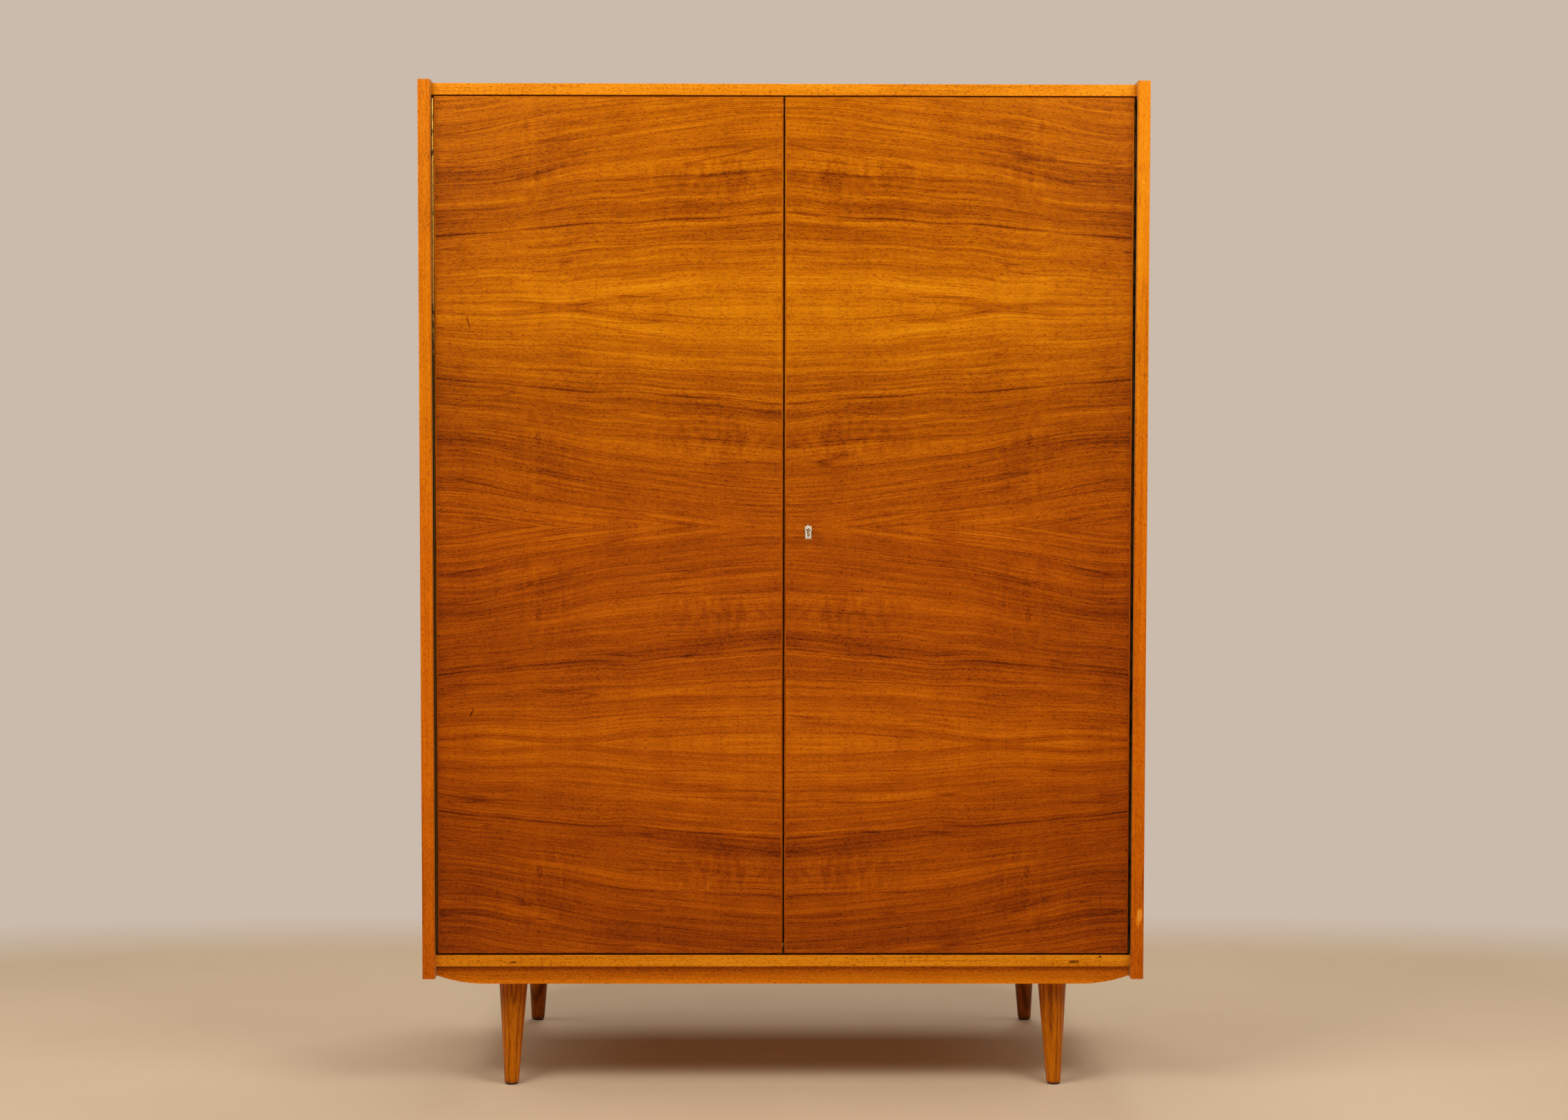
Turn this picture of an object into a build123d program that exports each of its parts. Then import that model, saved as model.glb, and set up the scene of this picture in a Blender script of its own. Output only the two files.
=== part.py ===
from build123d import *
from math import cos, radians, sin
import os

# A wardrobe with two doors, on four turned legs. Millimetres, +Z up, the doors face -Y.
# The origin is on the floor, at the centre of the box that holds the wardrobe and its key.

# Driving dimensions: the case.
WIDTH = 1200
DEPTH = 580
HEIGHT = 1677
KEY_REACH = 14            # how far the key stands in front of the side panels
SIDE_T = 20.5
SIDE_LOW = 193            # lower end of the side panels
SIDE_LIP = 6              # solid strip on the front edge of a side panel
PANEL_T = 19
PANEL_LIP = 3
BOTTOM_LOW = 211.5
TOP_LOW = 1653.5
SETBACK = 12              # doors and panel edges stand this far behind the side panels' edges
PARTITION_T = 18
PARTITION_SETBACK = 46
BACK_T = 4
REBATE_W = 10
REBATE_D = 5
SLACK = 1                 # room around a board that drops into place

# Inside.
SHELF_T = 16
SHELVES = 4
SHELF_SETBACK = 50
HAT_SHELF_T = 18
HAT_SHELF_LOW = 1390
CLEAT = 20
CLEAT_LENGTH = 440
RAIL_HEIGHT = 1330
RAIL_R = 12.5
RAIL_WALL = 1.5
SOCKET_R = 22
SOCKET_T = 3
COLLAR_R = 16
COLLAR_LENGTH = 12
STOP_DEPTH = 13
STOP_HEIGHT = 12

# The base.
APRON_T = 20
APRON_SETBACK = 28
APRON_LOW = 179
APRON_FLAT = 500          # half the straight part of the apron's lower edge
REAR_APRON_Y = 533        # measured from the front edges of the side panels
CROSS_RAIL_W = 60
LEG_TOP_X = 456
LEG_FOOT_X = 459.5
LEG_TOP_Y = (70, 510)
LEG_FOOT_Y = (66, 512)
LEG_FOOT_R = 12
LEG_MIDDLE_R = 18.6
LEG_TOP_R = 24.5
TENON_R = 14
TENON_LENGTH = 28
SPARE = 2                 # extra length that a leg is turned to before it is cut level
LEG_MIDDLE = 0.55         # how far up the leg its middle radius is taken
LEG_CLEAR = 100           # a square block this wide holds the whole leg
GLIDE_R = 11
GLIDE_T = 3

# The doors.
DOOR_T = 19
DOOR_LOW = 234
DOOR_HIGH = 1651.2
DOOR_OUTER = 575.5        # the hinge edge, from the middle
DOOR_INNER = 1.4          # the meeting edge, from the middle
EDGING = 2.5
ARRIS = 1

# The piano hinges.
HINGE_X = 577.5
HINGE_LOW = 238
KNUCKLES = 76
KNUCKLE_PITCH = 18.55
KNUCKLE_GAP = 0.3
KNUCKLE_R = 1.8
KNUCKLE_BORE_R = 1.05
HINGE_PIN_R = 1
LEAF_T = 0.9
LEAF_START = 2.2
LEAF_END = 16
HINGE_SCREW_Y = 10.5
HINGE_SCREW_PITCH = 3     # in knuckles
HINGE_HEAD_R = 2.3
HINGE_SHANK_R = 1.4
HINGE_SCREW_LENGTH = 13

# The lock, its key and the bolts of the left door.
KEY_X = 40.6
KEY_Z = 941.5
KEY_LEAN = 4.6            # degrees
BOW_DEPTH = 19
BOW_HEIGHT = 23
BOW_T = 2.5
BOW_RING = 3.4
BOW_ROUND = 0.3           # the share of the bow's thickness that its edges are rounded by
BARREL_R = 2.5
BARREL_BORE_R = 1.38
BORE_AHEAD = 5            # the barrel's bore starts this far in front of the door's middle
COLLAR_BARREL_R = 3.6
COLLAR_BARREL_LENGTH = 1.6
COLLAR_BARREL_START = 2   # from the shank's start
TIP_CLEARANCE = 0.4       # between the shank's end and the lock's case
DRILL_PIN_R = 1.3
BIT_REACH = 9
BIT_W = 6
BIT_T = 2.2
BIT_NOTCH_W = 1.6
BIT_NOTCH_DEPTH = 2
BIT_CLEARANCE = 2         # the keyhole's slot is this much longer than the bit
KEYHOLE_R = 3
KEYHOLE_SLOT = 2.6
LOCK_T = 11.6
LOCK_LOW = 909
LOCK_HIGH = 974
LOCK_DEPTH = 56
LOCK_SHEET = 1.2
FOREND_T = 2
FOREND_W = 16
FOREND_LENGTH = 92
BOLT_Z = 956
BOLT_HEIGHT = 18
BOLT_W = 8
BOLT_GAP = 0.4
BOLT_START = 0.2          # the bolt's end lies this far inside the forend's face
BOLT_ARRIS = 0.6
BOLT_TAIL_T = 4
BOLT_TAIL_HEIGHT = 7
BOLT_TAIL_RISE = 1        # the tail's middle is this far above the head's
SPRING_W = 5
SPRING_T = 0.5
SPRING_START = 14         # from the inside of the lock's case
DRILL_PIN_SHORT = 4       # the drill pin is this much shorter than the lock is thick
ESCUTCHEON_R = 6.45
ESCUTCHEON_W = 11.4
ESCUTCHEON_LOW = 925
ESCUTCHEON_PROUD = 0.8
ESCUTCHEON_SUNK = 3
EDGE_CASE_LENGTH = 56
EDGE_CASE_DEPTH = 11
EDGE_CASE_W = 13
EDGE_CASE_SHY = 0.5       # the case's end lies this far below the door's end
EDGE_BAR_LENGTH = 37
EDGE_CHANNEL = 47         # depth of the channel that the bolt slides in
EDGE_SLOT = 19
EDGE_KNOB = 10            # from the door's end to the knob
EDGE_KNOB_HEIGHT = 6
EDGE_KNOB_PROUD = 1.2
EDGE_KNOB_W = 4.2
EDGE_BAR_DEPTH = 6        # from the door's edge to the middle of the bolt's bar
EDGE_BAR_T = 5.4
EDGE_BAR_W = 7.4
EDGE_BAR_START = 1        # from the door's end to the bolt's
EDGE_CHANNEL_T = 6
EDGE_CHANNEL_W = 8
EDGE_SLOT_DEPTH = 4
EDGE_SLOT_W = 5

# Fastenings.
DOWEL_R = 4
DOWEL_LENGTH = 35
DOWEL_IN_FACE = 11
PIN_R = 2.5
PIN_LENGTH = 18
PIN_IN_BOARD = 8
CASE_SCREW_LENGTH = 12
DOOR_SCREW_LENGTH = 18
CORNER_DOWEL_END = 60     # from the case's front and back to the first dowel
PARTITION_DOWEL_END = 40
PIN_FROM_FRONT = 45       # from a shelf's front edge to its front pins
PIN_FROM_BACK = 60
NAIL_FROM_END = 60
NAIL_ROW_HALF = 500
NAILS_UP = 10
NAILS_ACROSS = 8
CLEAT_SCREW_END = 40
BASE_SCREW_END = 80

# Worked out from the above.
FRONT = (KEY_REACH - DEPTH) / 2
BACK = FRONT + DEPTH
INNER = WIDTH / 2 - SIDE_T
BOTTOM_TOP = BOTTOM_LOW + PANEL_T
TOP_HIGH = TOP_LOW + PANEL_T
PANEL_FRONT = FRONT + SETBACK
PANEL_BACK = BACK - REBATE_D
PARTITION_FRONT = FRONT + PARTITION_SETBACK
DOOR_MIDDLE = PANEL_FRONT + DOOR_T / 2
APRON_FRONT = FRONT + APRON_SETBACK
APRON_BACK = APRON_FRONT + APRON_T
REAR_APRON = FRONT + REAR_APRON_Y
HINGE_LENGTH = KNUCKLES * KNUCKLE_PITCH
CASE_Z = (SIDE_LOW, HEIGHT)
DOOR_Z = (DOOR_LOW, DOOR_HIGH)
LOCK_Y = (DOOR_MIDDLE - LOCK_T / 2, DOOR_MIDDLE + LOCK_T / 2)
FOREND_X = (DOOR_INNER, DOOR_INNER + FOREND_T)
LOCK_X = (FOREND_X[1], FOREND_X[1] + LOCK_DEPTH)
LOCK_Z = (LOCK_LOW, LOCK_HIGH)
LEFT = -1
RIGHT = 1
SIDES = {"left": LEFT, "right": RIGHT}
LEFTWARDS = (-1, 0, 0)
RIGHTWARDS = (1, 0, 0)
FORWARDS = (0, -1, 0)
BACKWARDS = (0, 1, 0)
UP = (0, 0, 1)
DOWN = (0, 0, -1)


# Helpers.

def save(piece, name):
    """Label a finished piece and write it."""
    piece.part.label = name
    export_step(piece.part, f"parts/{name}.step")


def board(x, y, z, mode=Mode.ADD):
    """A square block that fills the spans x, y and z, each a (low, high) pair."""
    with Locations(((x[0] + x[1]) / 2, (y[0] + y[1]) / 2, (z[0] + z[1]) / 2)):
        Box(x[1] - x[0], y[1] - y[0], z[1] - z[0], mode=mode)


def place(point, axis):
    """The place of something that starts at a point and runs along an axis."""
    return Plane(origin=point, z_dir=axis)


def rods(places, radius, length, mode=Mode.ADD):
    """A cylinder that runs out of each place."""
    with Locations(*places):
        Cylinder(radius, length, align=(Align.CENTER, Align.CENTER, Align.MIN), mode=mode)


def screws(heads, head_r, shank_r, length, mode=Mode.ADD):
    """A countersunk screw at each place, which is the centre of its flat head."""
    with Locations(*heads):
        Cone(head_r, shank_r, head_r - shank_r, align=(Align.CENTER, Align.CENTER, Align.MIN), mode=mode)
        Cylinder(shank_r, length, align=(Align.CENTER, Align.CENTER, Align.MIN), mode=mode)


def countersinks(heads, head_r, shank_r, depth):
    """The holes that screws' heads and shanks pass through."""
    screws(heads, head_r, shank_r, depth, Mode.SUBTRACT)


def beside(side, near, far):
    """The X span between two distances from the middle, left (-1) or right (1) of it."""
    return tuple(sorted((side * near, side * far)))


def around(middle, size):
    """The span of a given size about a middle."""
    return (middle - size / 2, middle + size / 2)


def steps(first, last, count):
    """Evenly spaced places from first to last."""
    return [first + (last - first) * step / (count - 1) for step in range(count)]


def round_front(piece, direction, radius=ARRIS):
    """Round the two long front edges of a board that runs along a direction."""
    fillet(piece.edges().filter_by(direction).group_by(Axis.Y)[0], radius)


# Dowels: five in each corner of the case and four at each end of the partition.

CORNER_DOWELS = steps(FRONT + CORNER_DOWEL_END, BACK - CORNER_DOWEL_END, 5)
PARTITION_DOWELS = steps(PARTITION_FRONT + PARTITION_DOWEL_END, BACK - CORNER_DOWEL_END, 4)


def dowel_places():
    """Where each dowel starts, and the way that it points."""
    places = []
    for side in (LEFT, RIGHT):
        for z in (BOTTOM_LOW + PANEL_T / 2, TOP_LOW + PANEL_T / 2):
            places += [place((side * (INNER + DOWEL_IN_FACE), y, z), (-side, 0, 0)) for y in CORNER_DOWELS]
    places += [place((0, y, BOTTOM_TOP - DOWEL_IN_FACE), UP) for y in PARTITION_DOWELS]
    places += [place((0, y, TOP_LOW + DOWEL_IN_FACE), DOWN) for y in PARTITION_DOWELS]
    return places


def dowel_rods(mode=Mode.ADD):
    """Every dowel of the case, or with Mode.SUBTRACT the holes for them."""
    rods(dowel_places(), DOWEL_R, DOWEL_LENGTH, mode)


def make_dowels():
    with BuildPart() as dowels:
        dowel_rods()
    save(dowels, "dowels")


# Shelves on the left, each on four steel pins.

BAY = (TOP_LOW - BOTTOM_TOP - SHELVES * SHELF_T) / (SHELVES + 1)
SHELF_LOWS = [BOTTOM_TOP + BAY * (row + 1) + SHELF_T * row for row in range(SHELVES)]
SHELF_Y = (FRONT + SHELF_SETBACK, PANEL_BACK - SLACK)
PIN_PLACES = (SHELF_Y[0] + PIN_FROM_FRONT, PANEL_BACK - PIN_FROM_BACK)


def pin_rods(mode=Mode.ADD):
    """The shelf pins, or with Mode.SUBTRACT the holes for them."""
    places = []
    for low in SHELF_LOWS:
        for y in PIN_PLACES:
            places.append(place((-INNER - PIN_IN_BOARD, y, low - PIN_R), RIGHTWARDS))
            places.append(place((-PARTITION_T / 2 + PIN_IN_BOARD, y, low - PIN_R), LEFTWARDS))
    rods(places, PIN_R, PIN_LENGTH, mode)


def make_shelves():
    with BuildPart() as pins:
        pin_rods()
    save(pins, "shelf_pins")
    for number, low in enumerate(SHELF_LOWS, start=1):
        with BuildPart() as shelf:
            board((-INNER + SLACK, -PARTITION_T / 2 - SLACK), SHELF_Y, (low, low + SHELF_T))
            round_front(shelf, Axis.X)
        save(shelf, f"shelf_{number}")


# The case.

def make_side(name, side):
    """A veneered side board with a rebate for the back, and the lipping on its front edge."""
    across = beside(side, INNER, WIDTH / 2)
    with BuildPart() as panel:
        board(across, (FRONT + SIDE_LIP, BACK), CASE_Z)
        board(beside(side, INNER, INNER + REBATE_W), (PANEL_BACK, BACK), (BOTTOM_LOW, TOP_HIGH), Mode.SUBTRACT)
        dowel_rods(Mode.SUBTRACT)
        pin_rods(Mode.SUBTRACT)
    save(panel, f"side_panel_{name}")
    with BuildPart() as lipping:
        board(across, (FRONT, FRONT + SIDE_LIP), CASE_Z)
        round_front(lipping, Axis.Z, 2 * ARRIS)
    save(lipping, f"side_lipping_{name}")


def strike_recess(low, high, side_of_hole):
    """The shallow recess for a bolt's strike plate and the deeper hole behind it."""
    board(STRIKE_X, STRIKE_Y, (low, high), Mode.SUBTRACT)
    board(STRIKE_HOLE_X, STRIKE_HOLE_Y, side_of_hole, Mode.SUBTRACT)


def make_panel(name, z, recess, hole):
    """The top or the bottom of the case, with its lipping and the strike plate's recess."""
    with BuildPart() as panel:
        board((-INNER, INNER), (PANEL_FRONT + PANEL_LIP, PANEL_BACK), z)
        strike_recess(*recess, hole)
        dowel_rods(Mode.SUBTRACT)
    save(panel, f"{name}_panel")
    with BuildPart() as lipping:
        board((-INNER, INNER), (PANEL_FRONT, PANEL_FRONT + PANEL_LIP), z)
        round_front(lipping, Axis.X)
    save(lipping, f"{name}_lipping")


# The strike plates for the left door's two bolts, let into the top and the bottom panel.
STRIKE_T = 1.5
STRIKE_LENGTH = 44
STRIKE_W = 12.5
STRIKE_SHIFT = 6          # the plate's middle is this far from its window, away from the gap between the doors
STRIKE_SCREW = 16         # from the plate's middle to a screw
STRIKE_HOLE_CLEARANCE = 1.2
EDGE_BAR_X = -DOOR_INNER - EDGE_BAR_DEPTH
STRIKE_MIDDLE = EDGE_BAR_X - STRIKE_SHIFT
STRIKE_X = around(STRIKE_MIDDLE, STRIKE_LENGTH)
STRIKE_Y = around(DOOR_MIDDLE, STRIKE_W)
STRIKE_HOLE_X = around(EDGE_BAR_X, EDGE_BAR_T + STRIKE_HOLE_CLEARANCE)
STRIKE_HOLE_Y = around(DOOR_MIDDLE, EDGE_BAR_W + STRIKE_HOLE_CLEARANCE)
STRIKE_HOLE_DEPTH = 9
STRIKE_SCREWS_X = around(STRIKE_MIDDLE, 2 * STRIKE_SCREW)
SMALL_HEAD_R = 2.8
SMALL_SHANK_R = 1.5


def case_strike_heads():
    """The four screws of the two strike plates."""
    faces = ((TOP_LOW, 1), (BOTTOM_TOP, -1))
    return [place((x, DOOR_MIDDLE, face), (0, 0, inward)) for face, inward in faces for x in STRIKE_SCREWS_X]


def make_case_strikes():
    """Plates flush with the panels' inner faces, each with a window for a bolt."""
    spans = ((TOP_LOW, TOP_LOW + STRIKE_T), (BOTTOM_TOP - STRIKE_T, BOTTOM_TOP))
    with BuildPart() as plates:
        for z in spans:
            board(STRIKE_X, STRIKE_Y, z)
            board(STRIKE_HOLE_X, STRIKE_HOLE_Y, z, Mode.SUBTRACT)
        countersinks(case_strike_heads(), SMALL_HEAD_R, SMALL_SHANK_R, STRIKE_T)
    save(plates, "case_strike_plates")


def make_partition():
    with BuildPart() as partition:
        board(around(0, PARTITION_T), (PARTITION_FRONT + PANEL_LIP, PANEL_BACK), (BOTTOM_TOP, TOP_LOW))
        dowel_rods(Mode.SUBTRACT)
        pin_rods(Mode.SUBTRACT)
    save(partition, "partition")
    with BuildPart() as lipping:
        board(around(0, PARTITION_T), (PARTITION_FRONT, PARTITION_FRONT + PANEL_LIP), (BOTTOM_TOP, TOP_LOW))
        round_front(lipping, Axis.Z)
    save(lipping, "partition_lipping")


def make_door_stops():
    """A strip along the top and one along the bottom, for the doors to close against."""
    y = (PARTITION_FRONT - STOP_DEPTH, PARTITION_FRONT)
    with BuildPart() as stops:
        for z in ((TOP_LOW - STOP_HEIGHT, TOP_LOW), (BOTTOM_TOP, BOTTOM_TOP + STOP_HEIGHT)):
            board((-INNER, INNER), y, z)
        fillet(stops.edges().filter_by(Axis.X), ARRIS)
    save(stops, "door_stops")


# The back: thin plywood in the side panels' rebates, nailed on.

NAIL_HEAD_R = 2.5
NAIL_HEAD_T = 0.8
NAIL_R = 0.9
NAIL_LENGTH = 22
NAIL_X = INNER + REBATE_W / 2


def nail_points():
    """Where the nails go: three columns up the back and a row along its top and bottom."""
    y = PANEL_BACK + BACK_T
    heights = steps(BOTTOM_LOW + NAIL_FROM_END, TOP_HIGH - NAIL_FROM_END, NAILS_UP)
    columns = [(x, y, z) for x in (-NAIL_X, 0, NAIL_X) for z in heights]
    panel_middles = (BOTTOM_LOW + PANEL_T / 2, TOP_LOW + PANEL_T / 2)
    rows = [(x, y, z) for z in panel_middles for x in steps(-NAIL_ROW_HALF, NAIL_ROW_HALF, NAILS_ACROSS)]
    return columns + rows


def make_back():
    with BuildPart() as panel:
        half = INNER + REBATE_W - SLACK
        board((-half, half), (PANEL_BACK, PANEL_BACK + BACK_T), (BOTTOM_LOW + SLACK, TOP_HIGH - SLACK))
    save(panel, "back_panel")
    with BuildPart() as nails:
        rods([place(point, FORWARDS) for point in nail_points()], NAIL_R, NAIL_LENGTH)
        rods([place(point, BACKWARDS) for point in nail_points()], NAIL_HEAD_R, NAIL_HEAD_T)
    save(nails, "back_nails")


# The hat shelf and the clothes rail on the right.

CLEAT_Y = (SHELF_Y[1] - CLEAT_LENGTH, SHELF_Y[1])
CLEAT_Z = (HAT_SHELF_LOW - CLEAT, HAT_SHELF_LOW)
CLEAT_SPANS = ((PARTITION_T / 2, PARTITION_T / 2 + CLEAT), (INNER - CLEAT, INNER))
RAIL_Y = FRONT + 290
SCREW_HEAD_R = 3.5
SCREW_SHANK_R = 1.8
CLEAT_SCREW_LENGTH = 32


def make_hat_shelf():
    with BuildPart() as shelf:
        board((PARTITION_T / 2 + SLACK, INNER - SLACK), SHELF_Y, (HAT_SHELF_LOW, HAT_SHELF_LOW + HAT_SHELF_T))
        round_front(shelf, Axis.X)
    save(shelf, "hat_shelf")
    heads = []
    for y in steps(CLEAT_Y[0] + CLEAT_SCREW_END, CLEAT_Y[1] - CLEAT_SCREW_END, 3):
        heads.append(place((CLEAT_SPANS[0][1], y, HAT_SHELF_LOW - CLEAT / 2), LEFTWARDS))
        heads.append(place((CLEAT_SPANS[1][0], y, HAT_SHELF_LOW - CLEAT / 2), RIGHTWARDS))
    with BuildPart() as cleats:
        for x in CLEAT_SPANS:
            board(x, CLEAT_Y, CLEAT_Z)
        countersinks(heads, SCREW_HEAD_R, SCREW_SHANK_R, CLEAT)
    save(cleats, "shelf_cleats")
    with BuildPart() as cleat_screws:
        screws(heads, SCREW_HEAD_R, SCREW_SHANK_R, CLEAT_SCREW_LENGTH)
    save(cleat_screws, "cleat_screws")


SOCKET_FACES = ((PARTITION_T / 2, 1), (INNER, -1))


def socket_screw_heads():
    """Three screws around each socket."""
    ring = (COLLAR_R + SOCKET_R) / 2
    heads = []
    for face, inward in SOCKET_FACES:
        for turn in (radians(90), radians(210), radians(330)):
            point = (face + inward * SOCKET_T, RAIL_Y + ring * cos(turn), RAIL_HEIGHT + ring * sin(turn))
            heads.append(place(point, (-inward, 0, 0)))
    return heads


def make_clothes_rail():
    """A steel tube that hangs between two screwed-on sockets."""
    start = PARTITION_T / 2 + SOCKET_T + SLACK
    length = INNER - SOCKET_T - SLACK - start
    tube_end = [place((start, RAIL_Y, RAIL_HEIGHT), RIGHTWARDS)]
    with BuildPart() as rail:
        rods(tube_end, RAIL_R, length)
        rods(tube_end, RAIL_R - RAIL_WALL, length, Mode.SUBTRACT)
    save(rail, "clothes_rail")
    flanges = [place((face, RAIL_Y, RAIL_HEIGHT), (inward, 0, 0)) for face, inward in SOCKET_FACES]
    bores = [flange.offset(SOCKET_T) for flange in flanges]
    with BuildPart() as sockets:
        rods(flanges, SOCKET_R, SOCKET_T)
        rods(flanges, COLLAR_R, SOCKET_T + COLLAR_LENGTH)
        rods(bores, RAIL_R, COLLAR_LENGTH, Mode.SUBTRACT)
        countersinks(socket_screw_heads(), SMALL_HEAD_R, SMALL_SHANK_R, SOCKET_T)
    save(sockets, "rail_sockets")


# The base: two aprons, two cross rails and four turned legs.

def make_apron(name, y):
    """A long rail whose lower edge rises in an arc to the side panels' lower ends."""
    with BuildPart() as apron:
        with BuildSketch(Plane.XZ.offset(-y)):
            with BuildLine():
                flat = Line((-APRON_FLAT, APRON_LOW), (APRON_FLAT, APRON_LOW))
                right = TangentArc(flat @ 1, (INNER, SIDE_LOW), tangent=(1, 0))
                left = TangentArc(flat @ 0, (-INNER, SIDE_LOW), tangent=(-1, 0))
                Polyline(right @ 1, (INNER, BOTTOM_LOW), (-INNER, BOTTOM_LOW), left @ 1)
            make_face()
        extrude(amount=-APRON_T)
    save(apron, name)


BASE_SCREWS_Y = steps(APRON_BACK + BASE_SCREW_END, REAR_APRON - BASE_SCREW_END, 4)
BASE_SCREW_HEAD_R = 4.5
BASE_SCREW_R = 2.25
BASE_SCREW_LENGTH = 45


def base_screw_heads(side):
    return [place((side * LEG_TOP_X, y, APRON_LOW), UP) for y in BASE_SCREWS_Y]


def make_cross_rail(name, side):
    """A rail from apron to apron that takes two legs and is screwed to the bottom panel."""
    height = BOTTOM_LOW - APRON_LOW
    with BuildPart() as rail:
        board(around(side * LEG_TOP_X, CROSS_RAIL_W), (APRON_BACK, REAR_APRON), (APRON_LOW, BOTTOM_LOW))
        tenons = [place((side * LEG_TOP_X, FRONT + y, APRON_LOW), UP) for y in LEG_TOP_Y]
        rods(tenons, TENON_R, TENON_LENGTH, Mode.SUBTRACT)
        countersinks(base_screw_heads(side), BASE_SCREW_HEAD_R, BASE_SCREW_R, height)
    save(rail, f"cross_rail_{name}")


def make_base_screws():
    with BuildPart() as base_screws:
        heads = base_screw_heads(LEFT) + base_screw_heads(RIGHT)
        screws(heads, BASE_SCREW_HEAD_R, BASE_SCREW_R, BASE_SCREW_LENGTH)
    save(base_screws, "base_screws")


def make_leg(name, side, top_y, foot_y):
    """A turned leg that leans a little outwards, cut level at the foot and at the rail."""
    foot = Vector(side * LEG_FOOT_X, FRONT + foot_y, 0)
    top = Vector(side * LEG_TOP_X, FRONT + top_y, APRON_LOW)
    length = (top - foot).length
    upright = Plane(origin=foot, z_dir=top - foot)
    with BuildPart() as leg:
        with BuildSketch(Plane(origin=foot, x_dir=upright.x_dir, z_dir=-upright.y_dir)):
            with BuildLine():
                middle = (LEG_MIDDLE_R, length * LEG_MIDDLE)
                curve = Spline((LEG_FOOT_R, -SPARE), middle, (LEG_TOP_R, length + SPARE))
                Polyline(curve @ 0, (0, -SPARE), (0, length + SPARE), curve @ 1)
            make_face()
        revolve(axis=Axis(foot, top - foot))
        level = (GLIDE_T, APRON_LOW)
        board(around(side * LEG_TOP_X, LEG_CLEAR), around(FRONT + top_y, LEG_CLEAR), level, Mode.INTERSECT)
        rods([place(top, UP)], TENON_R, TENON_LENGTH)
    save(leg, f"leg_{name}")


def make_glides():
    """The dark pads that the legs stand on."""
    with BuildPart() as glides:
        rods([place((side * LEG_FOOT_X, FRONT + y, 0), UP) for side in (LEFT, RIGHT) for y in LEG_FOOT_Y],
             GLIDE_R, GLIDE_T)
        fillet(glides.faces().group_by(Axis.Z)[0].edges(), ARRIS)
    save(glides, "glides")


# The hinges: two leaves with interleaved knuckles on one long pin.

def hinge_screw_heights():
    """Screws sit opposite the middle of every third knuckle, on both leaves."""
    middles = [HINGE_LOW + KNUCKLE_PITCH * (index + 0.5) for index in range(KNUCKLES)]
    return middles[1::HINGE_SCREW_PITCH]


def leaf_screw_heads(side, outward):
    """The screws' places on the leaf that faces the side panel (+1) or the door (-1)."""
    face = side * (HINGE_X + outward * (INNER - HINGE_X - LEAF_T))
    return [place((face, PANEL_FRONT + HINGE_SCREW_Y, z), (side * outward, 0, 0)) for z in hinge_screw_heights()]


def make_leaf(name, side, outward, first):
    """The leaf on the side panel (outward +1) or on the door (-1), with every second knuckle."""
    near = side * (HINGE_X + outward * (INNER - HINGE_X - LEAF_T))
    far = side * (HINGE_X + outward * (INNER - HINGE_X))
    plate_x = tuple(sorted((near, far)))
    tab = LEAF_START + LEAF_T
    knuckle_lows = [HINGE_LOW + KNUCKLE_GAP / 2 + KNUCKLE_PITCH * index for index in range(first, KNUCKLES, 2)]
    with BuildPart() as leaf:
        board(plate_x, (PANEL_FRONT + LEAF_START, PANEL_FRONT + LEAF_END), (HINGE_LOW, HINGE_LOW + HINGE_LENGTH))
        with BuildSketch(*[Plane.XY.offset(low) for low in knuckle_lows]):
            with Locations((side * HINGE_X, PANEL_FRONT)):
                Circle(KNUCKLE_R)
            with Locations(((near + far) / 2, PANEL_FRONT + tab / 2)):
                Rectangle(LEAF_T, tab)
            with Locations((side * HINGE_X, PANEL_FRONT)):
                Circle(KNUCKLE_BORE_R, mode=Mode.SUBTRACT)
        extrude(amount=KNUCKLE_PITCH - KNUCKLE_GAP)
        countersinks(leaf_screw_heads(side, outward), HINGE_HEAD_R, HINGE_SHANK_R, LEAF_T)
    save(leaf, name)


def make_hinge(name, side):
    make_leaf(f"{name}_hinge_case_leaf", side, 1, 0)
    make_leaf(f"{name}_hinge_door_leaf", side, -1, 1)
    with BuildPart() as pin:
        rods([place((side * HINGE_X, PANEL_FRONT, HINGE_LOW), UP)], HINGE_PIN_R, HINGE_LENGTH)
    save(pin, f"{name}_hinge_pin")


# The doors.

def door_span(side, margin=0):
    return beside(side, DOOR_INNER + margin, DOOR_OUTER - margin)


def make_door(name, side, cutters):
    """A veneered door board and the thin solid edging around it, cut out for its fittings."""
    y = (PANEL_FRONT, PANEL_FRONT + DOOR_T)
    with BuildPart() as panel:
        board(door_span(side, EDGING), y, (DOOR_LOW + EDGING, DOOR_HIGH - EDGING))
        for cut in cutters:
            cut()
    save(panel, f"{name}_door_panel")
    with BuildPart() as edging:
        board(door_span(side), y, DOOR_Z)
        corners = edging.edges().filter_by(Axis.Y, reverse=True)
        fillet(corners.group_by(Axis.Y)[0] + corners.group_by(Axis.Y)[-1], ARRIS)
        board(door_span(side, EDGING), y, (DOOR_LOW + EDGING, DOOR_HIGH - EDGING), Mode.SUBTRACT)
        for cut in cutters:
            cut()
    save(edging, f"{name}_door_edging")


def edge_bolt_place(end):
    """The door's end that a bolt belongs to and the direction in which it shoots."""
    return (DOOR_HIGH, 1) if end == "top" else (DOOR_LOW, -1)


def along_edge(end, near, far):
    """The Z span between two distances inwards from the door's top or bottom end."""
    edge, shoot = edge_bolt_place(end)
    return tuple(sorted((edge - shoot * near, edge - shoot * far)))


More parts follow.
